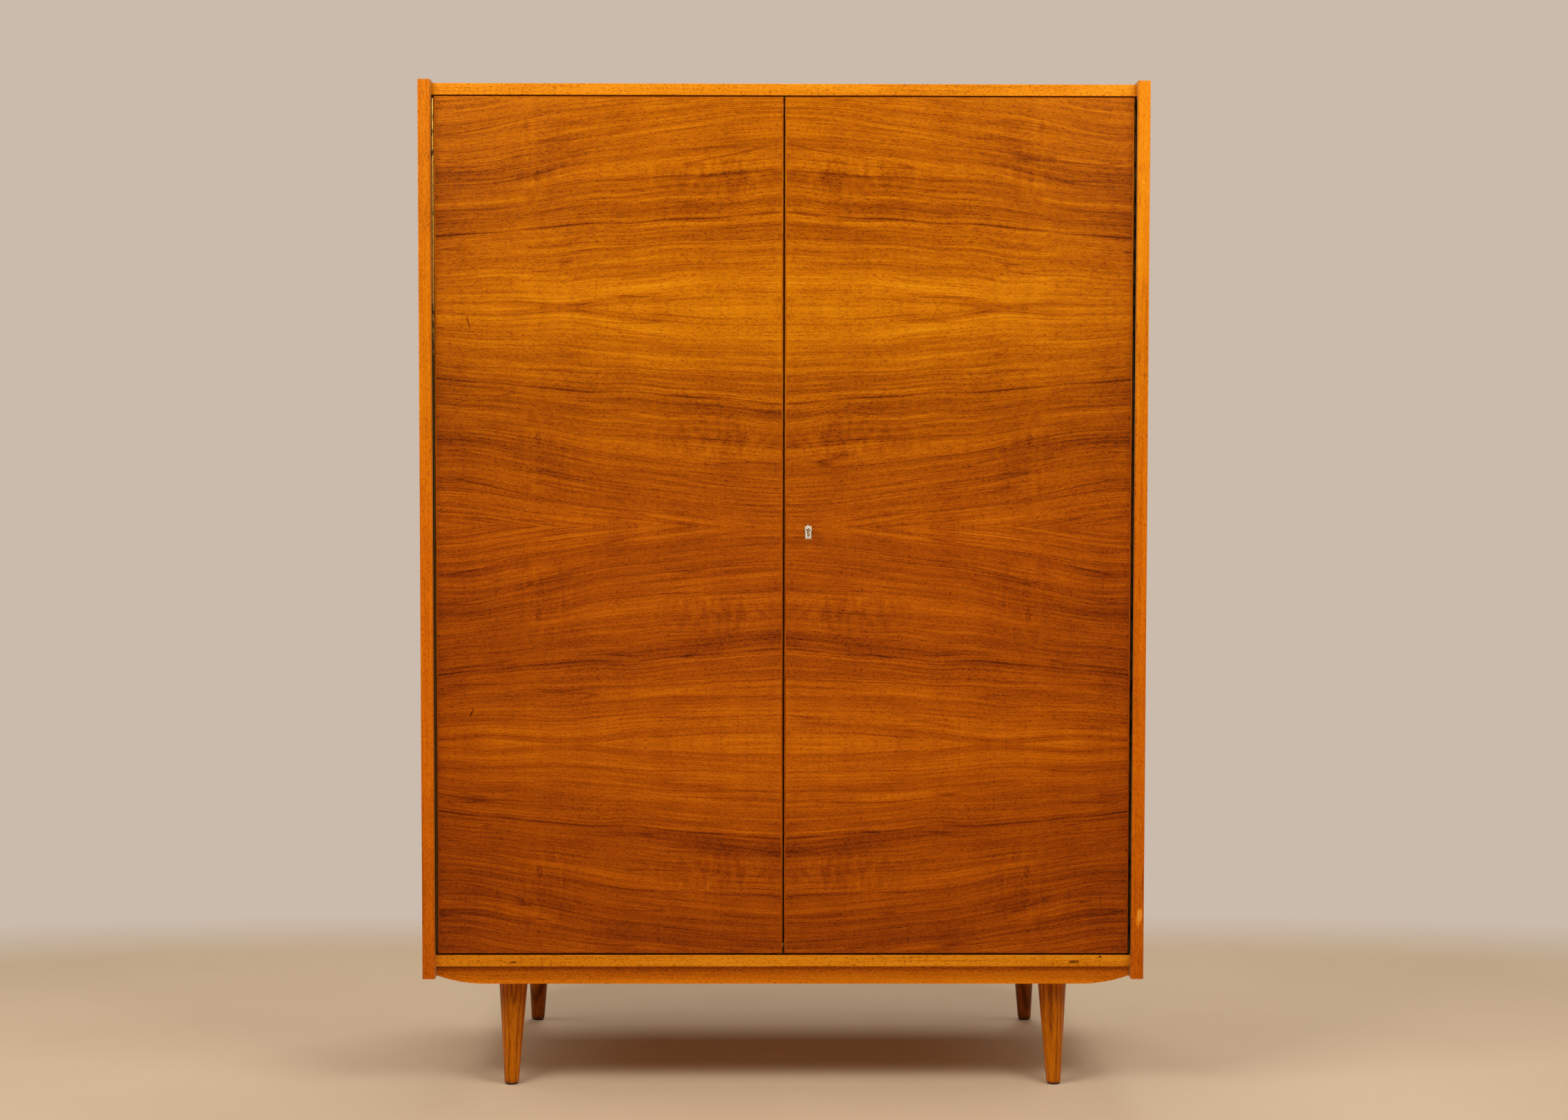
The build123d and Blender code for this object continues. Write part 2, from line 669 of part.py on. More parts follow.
def edge_bolt_recess():
    """The mortises for the two bolts in the left door's meeting edge."""
    for end in ("top", "bottom"):
        board((-DOOR_INNER - EDGE_CASE_DEPTH, -DOOR_INNER), around(DOOR_MIDDLE, EDGE_CASE_W),
              along_edge(end, 0, EDGE_CASE_LENGTH), Mode.SUBTRACT)


EDGE_SCREW_FROM_END = 51
EDGE_ENDS = ("top", "bottom")


def edge_screw_head(end):
    edge, shoot = edge_bolt_place(end)
    return place((-DOOR_INNER, DOOR_MIDDLE, edge - shoot * EDGE_SCREW_FROM_END), LEFTWARDS)


def make_edge_bolts():
    """Small sliding bolts in their cases: each one's knob stands in the gap between the doors."""
    edge_x = -DOOR_INNER
    with BuildPart() as cases:
        for end in EDGE_ENDS:
            board((edge_x - EDGE_CASE_DEPTH, edge_x), around(DOOR_MIDDLE, EDGE_CASE_W),
                  along_edge(end, EDGE_CASE_SHY, EDGE_CASE_LENGTH))
            board(around(EDGE_BAR_X, EDGE_CHANNEL_T), around(DOOR_MIDDLE, EDGE_CHANNEL_W),
                  along_edge(end, 0, EDGE_CHANNEL), Mode.SUBTRACT)
            board((edge_x - EDGE_SLOT_DEPTH, edge_x), around(DOOR_MIDDLE, EDGE_SLOT_W),
                  along_edge(end, 0, EDGE_SLOT), Mode.SUBTRACT)
        countersinks([edge_screw_head(end) for end in EDGE_ENDS], SMALL_HEAD_R, SMALL_SHANK_R, EDGE_CASE_DEPTH)
    save(cases, "edge_bolt_cases")
    for end in EDGE_ENDS:
        with BuildPart() as bolt:
            board(around(EDGE_BAR_X, EDGE_BAR_T), around(DOOR_MIDDLE, EDGE_BAR_W),
                  along_edge(end, EDGE_BAR_START, EDGE_BAR_START + EDGE_BAR_LENGTH))
            chamfer(bolt.faces().filter_by(Axis.Z).edges(), BOLT_ARRIS)
            board((edge_x - EDGE_SLOT_DEPTH, edge_x + EDGE_KNOB_PROUD), around(DOOR_MIDDLE, EDGE_KNOB_W),
                  along_edge(end, EDGE_KNOB, EDGE_KNOB + EDGE_KNOB_HEIGHT))
        save(bolt, f"{end}_bolt")


DOOR_STRIKE_T = 1.5
DOOR_STRIKE_LENGTH = 64
DOOR_STRIKE_W = 14
DOOR_STRIKE_SCREW = 24    # from the plate's middle to a screw
DOOR_MORTISE = 12
DOOR_STRIKE_Z = around(BOLT_Z, DOOR_STRIKE_LENGTH)
DOOR_STRIKE_Y = around(DOOR_MIDDLE, DOOR_STRIKE_W)
DOOR_STRIKE_SCREWS = around(BOLT_Z, 2 * DOOR_STRIKE_SCREW)
BOLT_WINDOW_Y = around(DOOR_MIDDLE, BOLT_W + 2 * BOLT_GAP)
BOLT_WINDOW_Z = around(BOLT_Z, BOLT_HEIGHT + 2 * BOLT_GAP)


def door_strike_recess():
    """The recess and mortise in the left door's edge that the lock's bolt shoots into."""
    board((-DOOR_INNER - DOOR_STRIKE_T, -DOOR_INNER), DOOR_STRIKE_Y, DOOR_STRIKE_Z, Mode.SUBTRACT)
    board((-DOOR_INNER - DOOR_MORTISE, -DOOR_INNER), BOLT_WINDOW_Y, BOLT_WINDOW_Z, Mode.SUBTRACT)


def door_strike_heads():
    return [place((-DOOR_INNER, DOOR_MIDDLE, z), LEFTWARDS) for z in DOOR_STRIKE_SCREWS]


def make_door_strike():
    with BuildPart() as plate:
        board((-DOOR_INNER - DOOR_STRIKE_T, -DOOR_INNER), DOOR_STRIKE_Y, DOOR_STRIKE_Z)
        board((-DOOR_INNER - DOOR_STRIKE_T, -DOOR_INNER), BOLT_WINDOW_Y, BOLT_WINDOW_Z, Mode.SUBTRACT)
        countersinks(door_strike_heads(), SMALL_HEAD_R, SMALL_SHANK_R, DOOR_STRIKE_T)
    save(plate, "door_strike_plate")


# The lock in the right door, its key and the keyhole's escutcheon.

FOREND_Z = around((LOCK_LOW + LOCK_HIGH) / 2, FOREND_LENGTH)
FOREND_SCREW_END = 6.5
FOREND_SCREWS = (FOREND_Z[0] + FOREND_SCREW_END, FOREND_Z[1] - FOREND_SCREW_END)
ESCUTCHEON_ROUND = 0.8    # the share of its height that the escutcheon's front edge is rounded by
HEAD_LENGTH = 14
TAIL_LENGTH = 34


def lock_recess():
    """The mortise for the lock in the right door's edge, and the holes for forend and key."""
    board((DOOR_INNER, LOCK_X[1]), LOCK_Y, LOCK_Z, Mode.SUBTRACT)
    board(FOREND_X, around(DOOR_MIDDLE, FOREND_W), FOREND_Z, Mode.SUBTRACT)
    with BuildSketch(Plane.XZ.offset(-PANEL_FRONT)) as outline:
        escutcheon_outline()
    extrude(outline.sketch, amount=-(LOCK_Y[0] - PANEL_FRONT), mode=Mode.SUBTRACT)


def escutcheon_outline():
    """A round head on a straight-sided foot with a square lower end."""
    with Locations((KEY_X, KEY_Z)):
        Circle(ESCUTCHEON_R)
    with Locations([(KEY_X, (KEY_Z + ESCUTCHEON_LOW) / 2)]):
        Rectangle(ESCUTCHEON_W, KEY_Z - ESCUTCHEON_LOW)


def keyhole_outline(mode):
    """A round hole with a slot below it for the key's bit."""
    with Locations((KEY_X, KEY_Z)):
        Circle(KEYHOLE_R, mode=mode)
    slot = BIT_REACH + BIT_CLEARANCE
    with Locations([(KEY_X, KEY_Z - slot / 2)]):
        Rectangle(KEYHOLE_SLOT, slot, mode=mode)


def make_escutcheon():
    with BuildPart() as escutcheon:
        with BuildSketch(Plane.XZ.offset(-PANEL_FRONT + ESCUTCHEON_PROUD)):
            escutcheon_outline()
        extrude(amount=-(ESCUTCHEON_PROUD + ESCUTCHEON_SUNK))
        fillet(escutcheon.faces().sort_by(Axis.Y)[0].edges(), ESCUTCHEON_PROUD * ESCUTCHEON_ROUND)
        with BuildSketch(Plane.XZ.offset(-PANEL_FRONT + ESCUTCHEON_PROUD)):
            keyhole_outline(Mode.ADD)
        extrude(amount=-(ESCUTCHEON_PROUD + ESCUTCHEON_SUNK), mode=Mode.SUBTRACT)
    save(escutcheon, "escutcheon")


def forend_heads():
    return [place((DOOR_INNER, DOOR_MIDDLE, z), RIGHTWARDS) for z in FOREND_SCREWS]


def make_lock():
    window_x = (FOREND_X[0], FOREND_X[1] + LOCK_SHEET)
    inside_y = (LOCK_Y[0] + LOCK_SHEET, LOCK_Y[1] - LOCK_SHEET)
    inside_x = (LOCK_X[0] + LOCK_SHEET, LOCK_X[1] - LOCK_SHEET)
    inside_z = (LOCK_Z[0] + LOCK_SHEET, LOCK_Z[1] - LOCK_SHEET)
    with BuildPart() as case:
        board(LOCK_X, (inside_y[0], LOCK_Y[1]), LOCK_Z)
        board(inside_x, (inside_y[0], inside_y[1]), inside_z, Mode.SUBTRACT)
        board(window_x, BOLT_WINDOW_Y, BOLT_WINDOW_Z, Mode.SUBTRACT)
        rods([place((KEY_X, inside_y[1], KEY_Z), FORWARDS)], DRILL_PIN_R, LOCK_T - DRILL_PIN_SHORT)
    save(case, "lock_case")
    with BuildPart() as cover:
        board(LOCK_X, (LOCK_Y[0], inside_y[0]), LOCK_Z)
        with BuildSketch(Plane.XZ.offset(-LOCK_Y[0])):
            keyhole_outline(Mode.ADD)
        extrude(amount=-LOCK_SHEET, mode=Mode.SUBTRACT)
    save(cover, "lock_cover")
    with BuildPart() as forend:
        board(FOREND_X, around(DOOR_MIDDLE, FOREND_W), FOREND_Z)
        board(FOREND_X, BOLT_WINDOW_Y, BOLT_WINDOW_Z, Mode.SUBTRACT)
        countersinks(forend_heads(), SMALL_HEAD_R, SMALL_SHANK_R, FOREND_T)
    save(forend, "lock_forend")
    with BuildPart() as bolt:
        start = DOOR_INNER + BOLT_START
        tail_start = start + HEAD_LENGTH
        board((start, tail_start), around(DOOR_MIDDLE, BOLT_W), around(BOLT_Z, BOLT_HEIGHT))
        fillet(bolt.edges().filter_by(Axis.Z).group_by(Axis.X)[0], BOLT_ARRIS)
        board((tail_start, tail_start + TAIL_LENGTH), around(DOOR_MIDDLE, BOLT_TAIL_T),
              around(BOLT_Z + BOLT_TAIL_RISE, BOLT_TAIL_HEIGHT))
    save(bolt, "lock_bolt")
    with BuildPart() as spring:
        board((inside_x[0] + SPRING_START, inside_x[1]), around(DOOR_MIDDLE, SPRING_W),
              (inside_z[1] - SPRING_T, inside_z[1]))
    save(spring, "lock_spring")


def make_key():
    """A barrel key: an oval bow, a collar, a hollow shank and a notched bit, leaning a little."""
    lean = radians(KEY_LEAN)
    face = Plane(origin=(KEY_X, PANEL_FRONT, KEY_Z), x_dir=(0, -1, 0), z_dir=(-cos(lean), 0, -sin(lean)))
    bow_tip = KEY_REACH + SETBACK
    bow_middle = bow_tip - BOW_DEPTH / 2
    tip = LOCK_Y[1] - LOCK_SHEET - TIP_CLEARANCE
    shank_start = bow_tip - BOW_DEPTH + BOW_RING / 2
    with BuildPart() as key:
        with BuildSketch(face):
            with Locations([(bow_middle, 0)]):
                Ellipse(BOW_DEPTH / 2, BOW_HEIGHT / 2)
                Ellipse(BOW_DEPTH / 2 - BOW_RING, BOW_HEIGHT / 2 - BOW_RING, mode=Mode.SUBTRACT)
        extrude(amount=BOW_T / 2, both=True)
        fillet(key.edges(), BOW_T * BOW_ROUND)
        barrel_start = place((KEY_X, PANEL_FRONT - shank_start, KEY_Z), BACKWARDS)
        rods([barrel_start], BARREL_R, tip - PANEL_FRONT + shank_start)
        collar_start = place((KEY_X, PANEL_FRONT - shank_start + COLLAR_BARREL_START, KEY_Z), BACKWARDS)
        rods([collar_start], COLLAR_BARREL_R, COLLAR_BARREL_LENGTH)
        with BuildSketch(face):
            with Locations([(PANEL_FRONT - DOOR_MIDDLE, -BIT_REACH / 2)]):
                Rectangle(BIT_W, BIT_REACH)
            with Locations([(PANEL_FRONT - DOOR_MIDDLE, -BIT_REACH)]):
                Rectangle(BIT_NOTCH_W, 2 * BIT_NOTCH_DEPTH, mode=Mode.SUBTRACT)
        extrude(amount=BIT_T / 2, both=True)
        rods([place((KEY_X, DOOR_MIDDLE - BORE_AHEAD, KEY_Z), BACKWARDS)], BARREL_BORE_R, LOCK_T, Mode.SUBTRACT)
    save(key, "key")


# The smaller screws, in one node for each body that they hold together.

def make_screw_groups():
    with BuildPart() as hinge_screws:
        heads = leaf_screw_heads(LEFT, 1) + leaf_screw_heads(RIGHT, 1)
        screws(heads, HINGE_HEAD_R, HINGE_SHANK_R, HINGE_SCREW_LENGTH)
    save(hinge_screws, "hinge_screws_in_case")
    with BuildPart() as fitting_screws:
        screws(case_strike_heads() + socket_screw_heads(), SMALL_HEAD_R, SMALL_SHANK_R, CASE_SCREW_LENGTH)
    save(fitting_screws, "fitting_screws_in_case")
    with BuildPart() as left_screws:
        screws(leaf_screw_heads(LEFT, -1), HINGE_HEAD_R, HINGE_SHANK_R, HINGE_SCREW_LENGTH)
        heads = [edge_screw_head(end) for end in EDGE_ENDS] + door_strike_heads()
        screws(heads, SMALL_HEAD_R, SMALL_SHANK_R, DOOR_SCREW_LENGTH)
    save(left_screws, "screws_in_left_door")
    with BuildPart() as right_screws:
        screws(leaf_screw_heads(RIGHT, -1), HINGE_HEAD_R, HINGE_SHANK_R, HINGE_SCREW_LENGTH)
        screws(forend_heads(), SMALL_HEAD_R, SMALL_SHANK_R, DOOR_SCREW_LENGTH)
    save(right_screws, "screws_in_right_door")


# Build everything.

os.makedirs("parts", exist_ok=True)

for side_name, hand in SIDES.items():
    make_side(side_name, hand)
    make_cross_rail(side_name, hand)
    make_hinge(side_name, hand)
    for row, top_y, foot_y in zip(("front", "rear"), LEG_TOP_Y, LEG_FOOT_Y):
        make_leg(f"{row}_{side_name}", hand, top_y, foot_y)

make_panel("top", (TOP_LOW, TOP_HIGH), (TOP_LOW, TOP_LOW + STRIKE_T), (TOP_LOW, TOP_LOW + STRIKE_HOLE_DEPTH))
make_panel("bottom", (BOTTOM_LOW, BOTTOM_TOP), (BOTTOM_TOP - STRIKE_T, BOTTOM_TOP),
           (BOTTOM_TOP - STRIKE_HOLE_DEPTH, BOTTOM_TOP))
make_case_strikes()
make_partition()
make_door_stops()
make_back()
make_dowels()
make_shelves()
make_hat_shelf()
make_clothes_rail()
make_apron("front_apron", APRON_FRONT)
make_apron("rear_apron", REAR_APRON)
make_base_screws()
make_glides()

make_door("left", LEFT, [edge_bolt_recess, door_strike_recess])
make_door("right", RIGHT, [lock_recess])
make_edge_bolts()
make_door_strike()
make_lock()
make_escutcheon()
make_key()
make_screw_groups()
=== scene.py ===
# %% [markdown]
# # A two-door wardrobe on turned legs
# The joinery is already measured and modelled as CAD solids. This lesson puts the looks on it: book-matched
# veneer, solid lippings, turned legs, brass hinges and a small nickel key. The first cell loads the fixed
# frame, and every size below is read from it, so the looks cannot drift away from the joinery.

# %% Load the frame
import math

import bpy
import numpy as np
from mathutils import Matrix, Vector


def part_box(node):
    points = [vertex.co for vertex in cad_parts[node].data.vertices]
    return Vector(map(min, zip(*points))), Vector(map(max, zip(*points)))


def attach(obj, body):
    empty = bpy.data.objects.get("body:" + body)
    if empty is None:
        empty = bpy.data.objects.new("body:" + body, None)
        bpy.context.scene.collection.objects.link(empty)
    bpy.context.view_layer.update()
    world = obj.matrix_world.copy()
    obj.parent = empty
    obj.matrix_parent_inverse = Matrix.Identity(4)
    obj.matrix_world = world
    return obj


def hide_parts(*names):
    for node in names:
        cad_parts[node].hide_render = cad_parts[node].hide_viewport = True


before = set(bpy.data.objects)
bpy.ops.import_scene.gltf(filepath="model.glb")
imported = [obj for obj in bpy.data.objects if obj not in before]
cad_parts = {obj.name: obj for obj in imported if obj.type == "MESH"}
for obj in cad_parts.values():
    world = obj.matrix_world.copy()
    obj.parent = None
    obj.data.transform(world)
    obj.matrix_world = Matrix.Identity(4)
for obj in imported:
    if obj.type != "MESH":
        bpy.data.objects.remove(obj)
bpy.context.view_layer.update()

# %% [markdown]
# ## The camera
# The wardrobe is looked at almost straight on, from chest height and about four metres away, with a lens a
# little longer than normal so that its sides stay upright. A plain perspective camera does it. The colours
# are kept as they are worked out, without a film curve, because a strong orange turns grey under one.

# %% Camera and colour
camera_data = bpy.data.cameras.new("camera")
camera_data.lens = 52.8
camera_data.sensor_width = 36.0
camera = bpy.data.objects.new("camera", camera_data)
bpy.context.scene.collection.objects.link(camera)
camera.location = (-0.0257, -4.0742, 1.064)
camera.rotation_euler = [math.radians(turn) for turn in (87.39, -0.08, -0.39)]
bpy.context.scene.camera = camera
bpy.context.scene.view_settings.view_transform = "Standard"
print("camera height:", camera.location.z)

# %% [markdown]
# ## Sums on a node tree
# A finish is a formula over the place of a point: grain is a stretched noise, a pore is a narrow one. Wiring
# such formulas by hand fills a screen with Math nodes. One small class wraps a socket instead, so that an
# ordinary sum in Python puts its nodes down, and a bench holds one material's tree.


# %% The bench and its sums
def colour(red, green, blue):
    """A colour as a screen shows it, 0 to 255, turned into the amounts of light that shaders use."""
    shown = np.array([red, green, blue]) / 255
    light = np.where(shown <= 0.04045, shown / 12.92, ((shown + 0.055) / 1.055) ** 2.4)
    return (*[float(part) for part in light], 1.0)


class Sum:
    """A socket on a tree. Adding, taking away, timesing and dividing put Math nodes down."""

    def __init__(self, bench, socket):
        self.bench, self.socket = bench, socket

    def math(self, operation, *others):
        return self.bench.math(operation, self, *others)

    def __add__(self, other):
        return self.math("ADD", other)

    def __sub__(self, other):
        return self.math("SUBTRACT", other)

    def __rsub__(self, other):
        return self.bench.math("SUBTRACT", other, self)

    def __mul__(self, other):
        return self.math("MULTIPLY", other)

    def __truediv__(self, other):
        return self.math("DIVIDE", other)

    def __pow__(self, other):
        return self.math("POWER", other)

    def __abs__(self):
        return self.math("ABSOLUTE")

    __radd__ = __add__
    __rmul__ = __mul__


class Bench:
    """One material: a Principled shader, and the calls that put nodes on its tree."""

    def __init__(self, name, **set_on_shader):
        self.material = bpy.data.materials.new(name)
        self.material.use_nodes = True
        self.tree = self.material.node_tree
        self.shader = self.tree.nodes["Principled BSDF"]
        for socket, value in set_on_shader.items():
            self.shader.inputs[socket.replace("_", " ")].default_value = value

    def node(self, kind, settings=None, inputs=None, out=0):
        """Put a node down: its settings first, then a value or a link for each socket that is named."""
        made = self.tree.nodes.new(kind)
        for name, value in (settings or {}).items():
            if name == "stops":
                ramp = made.color_ramp.elements
                while len(ramp) < len(value):
                    ramp.new(1.0)
                for stop, (position, shade) in zip(ramp, value):
                    stop.position, stop.color = position, shade
            else:
                setattr(made, name, value)
        for name, value in (inputs or {}).items():
            self.plug(made.inputs[name], value)
        return Sum(self, made.outputs[out])

    def plug(self, socket, value):
        if isinstance(value, Sum):
            self.tree.links.new(value.socket, socket)
        else:
            socket.default_value = value

    def math(self, operation, *values):
        return self.node("ShaderNodeMath", {"operation": operation}, dict(enumerate(values)))

    def place(self):
        """The point's place in metres, as three sums x, y and z."""
        where = self.node("ShaderNodeTexCoord", out="Object")
        apart = self.node("ShaderNodeSeparateXYZ", inputs={0: where})
        outputs = apart.socket.node.outputs
        return [Sum(self, outputs[axis]) for axis in range(3)]

    def noise(self, x, y, z, detail=2.0, rough=0.5, twist=0.0):
        """Cloudy noise, about 0.5 on average, whose features are one unit of x, y and z long."""
        at = self.node("ShaderNodeCombineXYZ", inputs={0: x, 1: y, 2: z})
        return self.node(
            "ShaderNodeTexNoise",
            {"noise_dimensions": "3D"},
            {"Vector": at, "Scale": 1.0, "Detail": detail, "Roughness": rough, "Distortion": twist},
        )

    def slide(self, value, low, high, to_low=0.0, to_high=1.0):
        """A soft step: to_low below low, to_high above high, and a smooth S between them."""
        return self.node(
            "ShaderNodeMapRange",
            {"interpolation_type": "SMOOTHSTEP"},
            {"Value": value, "From Min": low, "From Max": high, "To Min": to_low, "To Max": to_high},
        )

    def shades(self, value, *stops):
        """Colours along a value: each stop is a position and a colour."""
        return self.node("ShaderNodeValToRGB", {"stops": stops}, {"Fac": value})

    def mix(self, first, second, amount, way="MIX"):
        """Two colours mixed by an amount."""
        return self.node(
            "ShaderNodeMix",
            {"data_type": "RGBA", "blend_type": way},
            {0: amount, 6: first, 7: second},
            out=2,
        )

    def spot(self, across, along, at, half):
        """1 in the middle of an oval, and 0 outside it."""
        off = ((across - at[0]) / half[0]) ** 2.0 + ((along - at[1]) / half[1]) ** 2.0
        return self.slide(off, 0.25, 1.0, 1.0, 0.0)

    def finish(self, base, rough, bump=None, depth=0.0001):
        """Plug the colour, the roughness and a height, depth metres at most, into the shader."""
        self.plug(self.shader.inputs["Base Color"], base)
        self.plug(self.shader.inputs["Roughness"], rough)
        if bump is not None:
            raised = self.node("ShaderNodeBump", inputs={"Distance": depth, "Strength": 1.0, "Height": bump})
            self.plug(self.shader.inputs["Normal"], raised)
        return self.material


print("bench ready")

# %% [markdown]
# ## The floor and the light
# A wardrobe this plain wants a plain room: a pale floor that fades into a pale wall. The wall is the world's
# own colour, so the back can be looked at too. Two large soft lamps stand high in front, which is why the
# doors are brighter at the top than near the floor, and painted shade on the lower wood adds to it. A weak
# low one fills the shade under the apron, and the other three are for the sides and the back.

# %% Floor
FLOOR_HALF = 4.0
FADE_HALF = (2.7, 1.9)  # half the width and half the depth at which the floor has faded away
FADE_MIDDLE_Y = -0.65
floor_mesh = bpy.data.meshes.new("floor")
floor_mesh.from_pydata(
    [(FLOOR_HALF * across, FLOOR_HALF * along, 0) for across, along in ((-1, -1), (1, -1), (1, 1), (-1, 1))],
    [],
    [(0, 1, 2, 3)],
)
floor = bpy.data.objects.new("floor", floor_mesh)
bpy.context.scene.collection.objects.link(floor)


def floor_finish():
    """A pale, faintly cloudy colour that lets the wall through far from the wardrobe.

    How far is the fourth root of the sum of two fourth powers, which draws a rectangle with round corners.
    """
    b = Bench("pale_floor")
    x, y, z = b.place()
    cloud = b.noise(x * 1.3, y * 1.3, z, detail=5.0, rough=0.6)
    grit = b.noise(x * 240.0, y * 240.0, z, detail=2.0)
    shade = b.shades(cloud * 0.6 + grit * 0.4, (0.3, colour(213, 190, 163)), (0.7, colour(222, 201, 175)))
    far = (abs(x / FADE_HALF[0]) ** 4.0 + abs((y - FADE_MIDDLE_Y) / FADE_HALF[1]) ** 4.0) ** 0.25
    b.finish(shade, 0.75)
    b.plug(b.shader.inputs["Alpha"], b.slide(far, 0.75, 1.0, 1.0, 0.0))
    return b.material


floor_mesh.materials.append(floor_finish())
print("floor half side:", FLOOR_HALF)

# %% World
WALL_COLOUR = colour(203, 187, 172)
FILL_COLOUR = (1.0, 0.78, 0.56, 1.0)
FILL_STRENGTH = 0.13
world = bpy.data.worlds.new("room")
bpy.context.scene.world = world
world.use_nodes = True
room = world.node_tree
room.nodes.clear()
wall_seen = room.nodes.new("ShaderNodeBackground")
wall_seen.inputs["Color"].default_value = WALL_COLOUR
wall_light = room.nodes.new("ShaderNodeBackground")
wall_light.inputs["Color"].default_value = FILL_COLOUR
wall_light.inputs["Strength"].default_value = FILL_STRENGTH
which = room.nodes.new("ShaderNodeLightPath")
both = room.nodes.new("ShaderNodeMixShader")
world_out = room.nodes.new("ShaderNodeOutputWorld")
room.links.new(which.outputs["Is Camera Ray"], both.inputs["Fac"])
room.links.new(wall_light.outputs[0], both.inputs[1])
room.links.new(wall_seen.outputs[0], both.inputs[2])
room.links.new(both.outputs[0], world_out.inputs["Surface"])
print("the wall is seen at", [round(part, 3) for part in WALL_COLOUR[:3]], "and lights at", FILL_STRENGTH)

# %% Lamps
WARM_WHITE = (1.0, 0.96, 0.86)


def lamp(name, at, look_at, width, height, watts):
    """A soft box: an area lamp at a place, turned to look at a point."""
    data = bpy.data.lights.new(name, "AREA")
    data.shape, data.size, data.size_y = "RECTANGLE", width, height
    data.energy, data.color = watts, WARM_WHITE
    made = bpy.data.objects.new(name, data)
    bpy.context.scene.collection.objects.link(made)
    made.location = at
    aim = np.array(look_at, float) - np.array(at, float)
    made.rotation_euler = Vector(aim).to_track_quat("-Z", "Y").to_euler()
    made.visible_camera = False
    return made


lamp("front_left", (-1.55, -1.55, 2.60), (-0.1, -0.27, 1.30), 1.5, 1.1, 43)
lamp("front_right", (1.55, -1.55, 2.60), (0.1, -0.27, 1.30), 1.5, 1.1, 39)
lamp("left_side", (-3.0, 0.4, 2.3), (0.0, 0.2, 0.9), 1.8, 1.6, 22)
lamp("right_side", (3.0, 0.4, 2.3), (0.0, 0.2, 0.9), 1.8, 1.6, 18)
lamp("front_low", (0.0, -3.4, 0.70), (0.0, -0.27, 0.22), 2.6, 0.5, 5)
lamp("behind", (0.4, 2.6, 3.3), (0.0, 0.3, 0.9), 2.4, 1.6, 50)

# %% [markdown]
# ## The doors' veneer
# Each door is faced with four sheets cut one after another from the same log and opened like a book, so the
# grain mirrors at three level joints, and the two doors mirror each other. The formula follows the maker:
# fold the height at the joints, fold the width at the meeting edge, bend the grain lines a little, and only
# then stretch noises along them. One pattern is made, and the folding lays it out eight times, with a small
# step in the noises' third direction from sheet to sheet, as each was cut a little deeper into the log.

# %% Where the sheets meet
door_low, door_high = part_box("left_door_panel")
JOINTS = (1.306, 0.9455, 0.585)
DOOR_WIDTH = door_high.x - door_low.x
print("door face:", round(DOOR_WIDTH, 4), "wide, sheets joined at heights", JOINTS)

# %% Shades of the woods
VENEER = (
    (0.00, colour(62, 16, 0)),
    (0.20, colour(116, 44, 0)),
    (0.40, colour(160, 74, 0)),
    (0.60, colour(194, 103, 0)),
    (0.80, colour(222, 132, 3)),
    (1.00, colour(242, 160, 18)),
)
GOLDEN = (
    (0.00, colour(116, 50, 0)),
    (0.30, colour(188, 94, 0)),
    (0.55, colour(230, 128, 2)),
    (0.80, colour(244, 152, 14)),
    (1.00, colour(250, 182, 66)),
)
HONEY = (
    (0.00, colour(136, 70, 0)),
    (0.30, colour(204, 112, 2)),
    (0.55, colour(238, 144, 14)),
    (0.80, colour(248, 168, 36)),
    (1.00, colour(254, 196, 90)),
)
# A brighter honey for the apron: painted light, making up for the shade that the overhanging lipping casts on
# it.
PAINTED_LIT_HONEY = (
    (0.00, colour(152, 72, 0)),
    (0.30, colour(222, 114, 0)),
    (0.55, colour(252, 142, 6)),
    (0.80, colour(254, 164, 20)),
    (1.00, colour(254, 194, 70)),
)
PALE_BOARD = (
    (0.00, colour(140, 92, 46)),
    (0.35, colour(186, 134, 76)),
    (0.65, colour(212, 164, 104)),
    (1.00, colour(232, 192, 138)),
)
PLYWOOD = (
    (0.00, colour(110, 66, 30)),
    (0.40, colour(168, 112, 58)),
    (0.70, colour(196, 142, 82)),
    (1.00, colour(222, 176, 118)),
)
SATIN = {"Specular_IOR_Level": 0.30, "Specular_Tint": (1.0, 0.68, 0.28, 1.0)}


# %% Painted shade low on the wood
PAINTED_SHADE_FROM, PAINTED_SHADE_TO = 0.86, 1.26
PAINTED_SHADE_TINT = (1.0, 0.80, 0.70, 1.0)


def painted_shade_low(b, base, z):
    """Painted shade: below a height the colour is multiplied redder and darker, for the dimmer, warmer light
    near the floor.
    """
    return b.mix(base, PAINTED_SHADE_TINT, b.slide(z, PAINTED_SHADE_FROM, PAINTED_SHADE_TO, 1.0, 0.0), way="MULTIPLY")


# %% [markdown]
# ## The grain
# Sliced wood is fibres seen from the side: broad bands from year to year, finer ones within a year, now and
# then a dark hair line, and everywhere the short dashes of cut pores. All of them are long one way and
# narrow the other, so every noise is given a small scale along the grain and a large one across it.


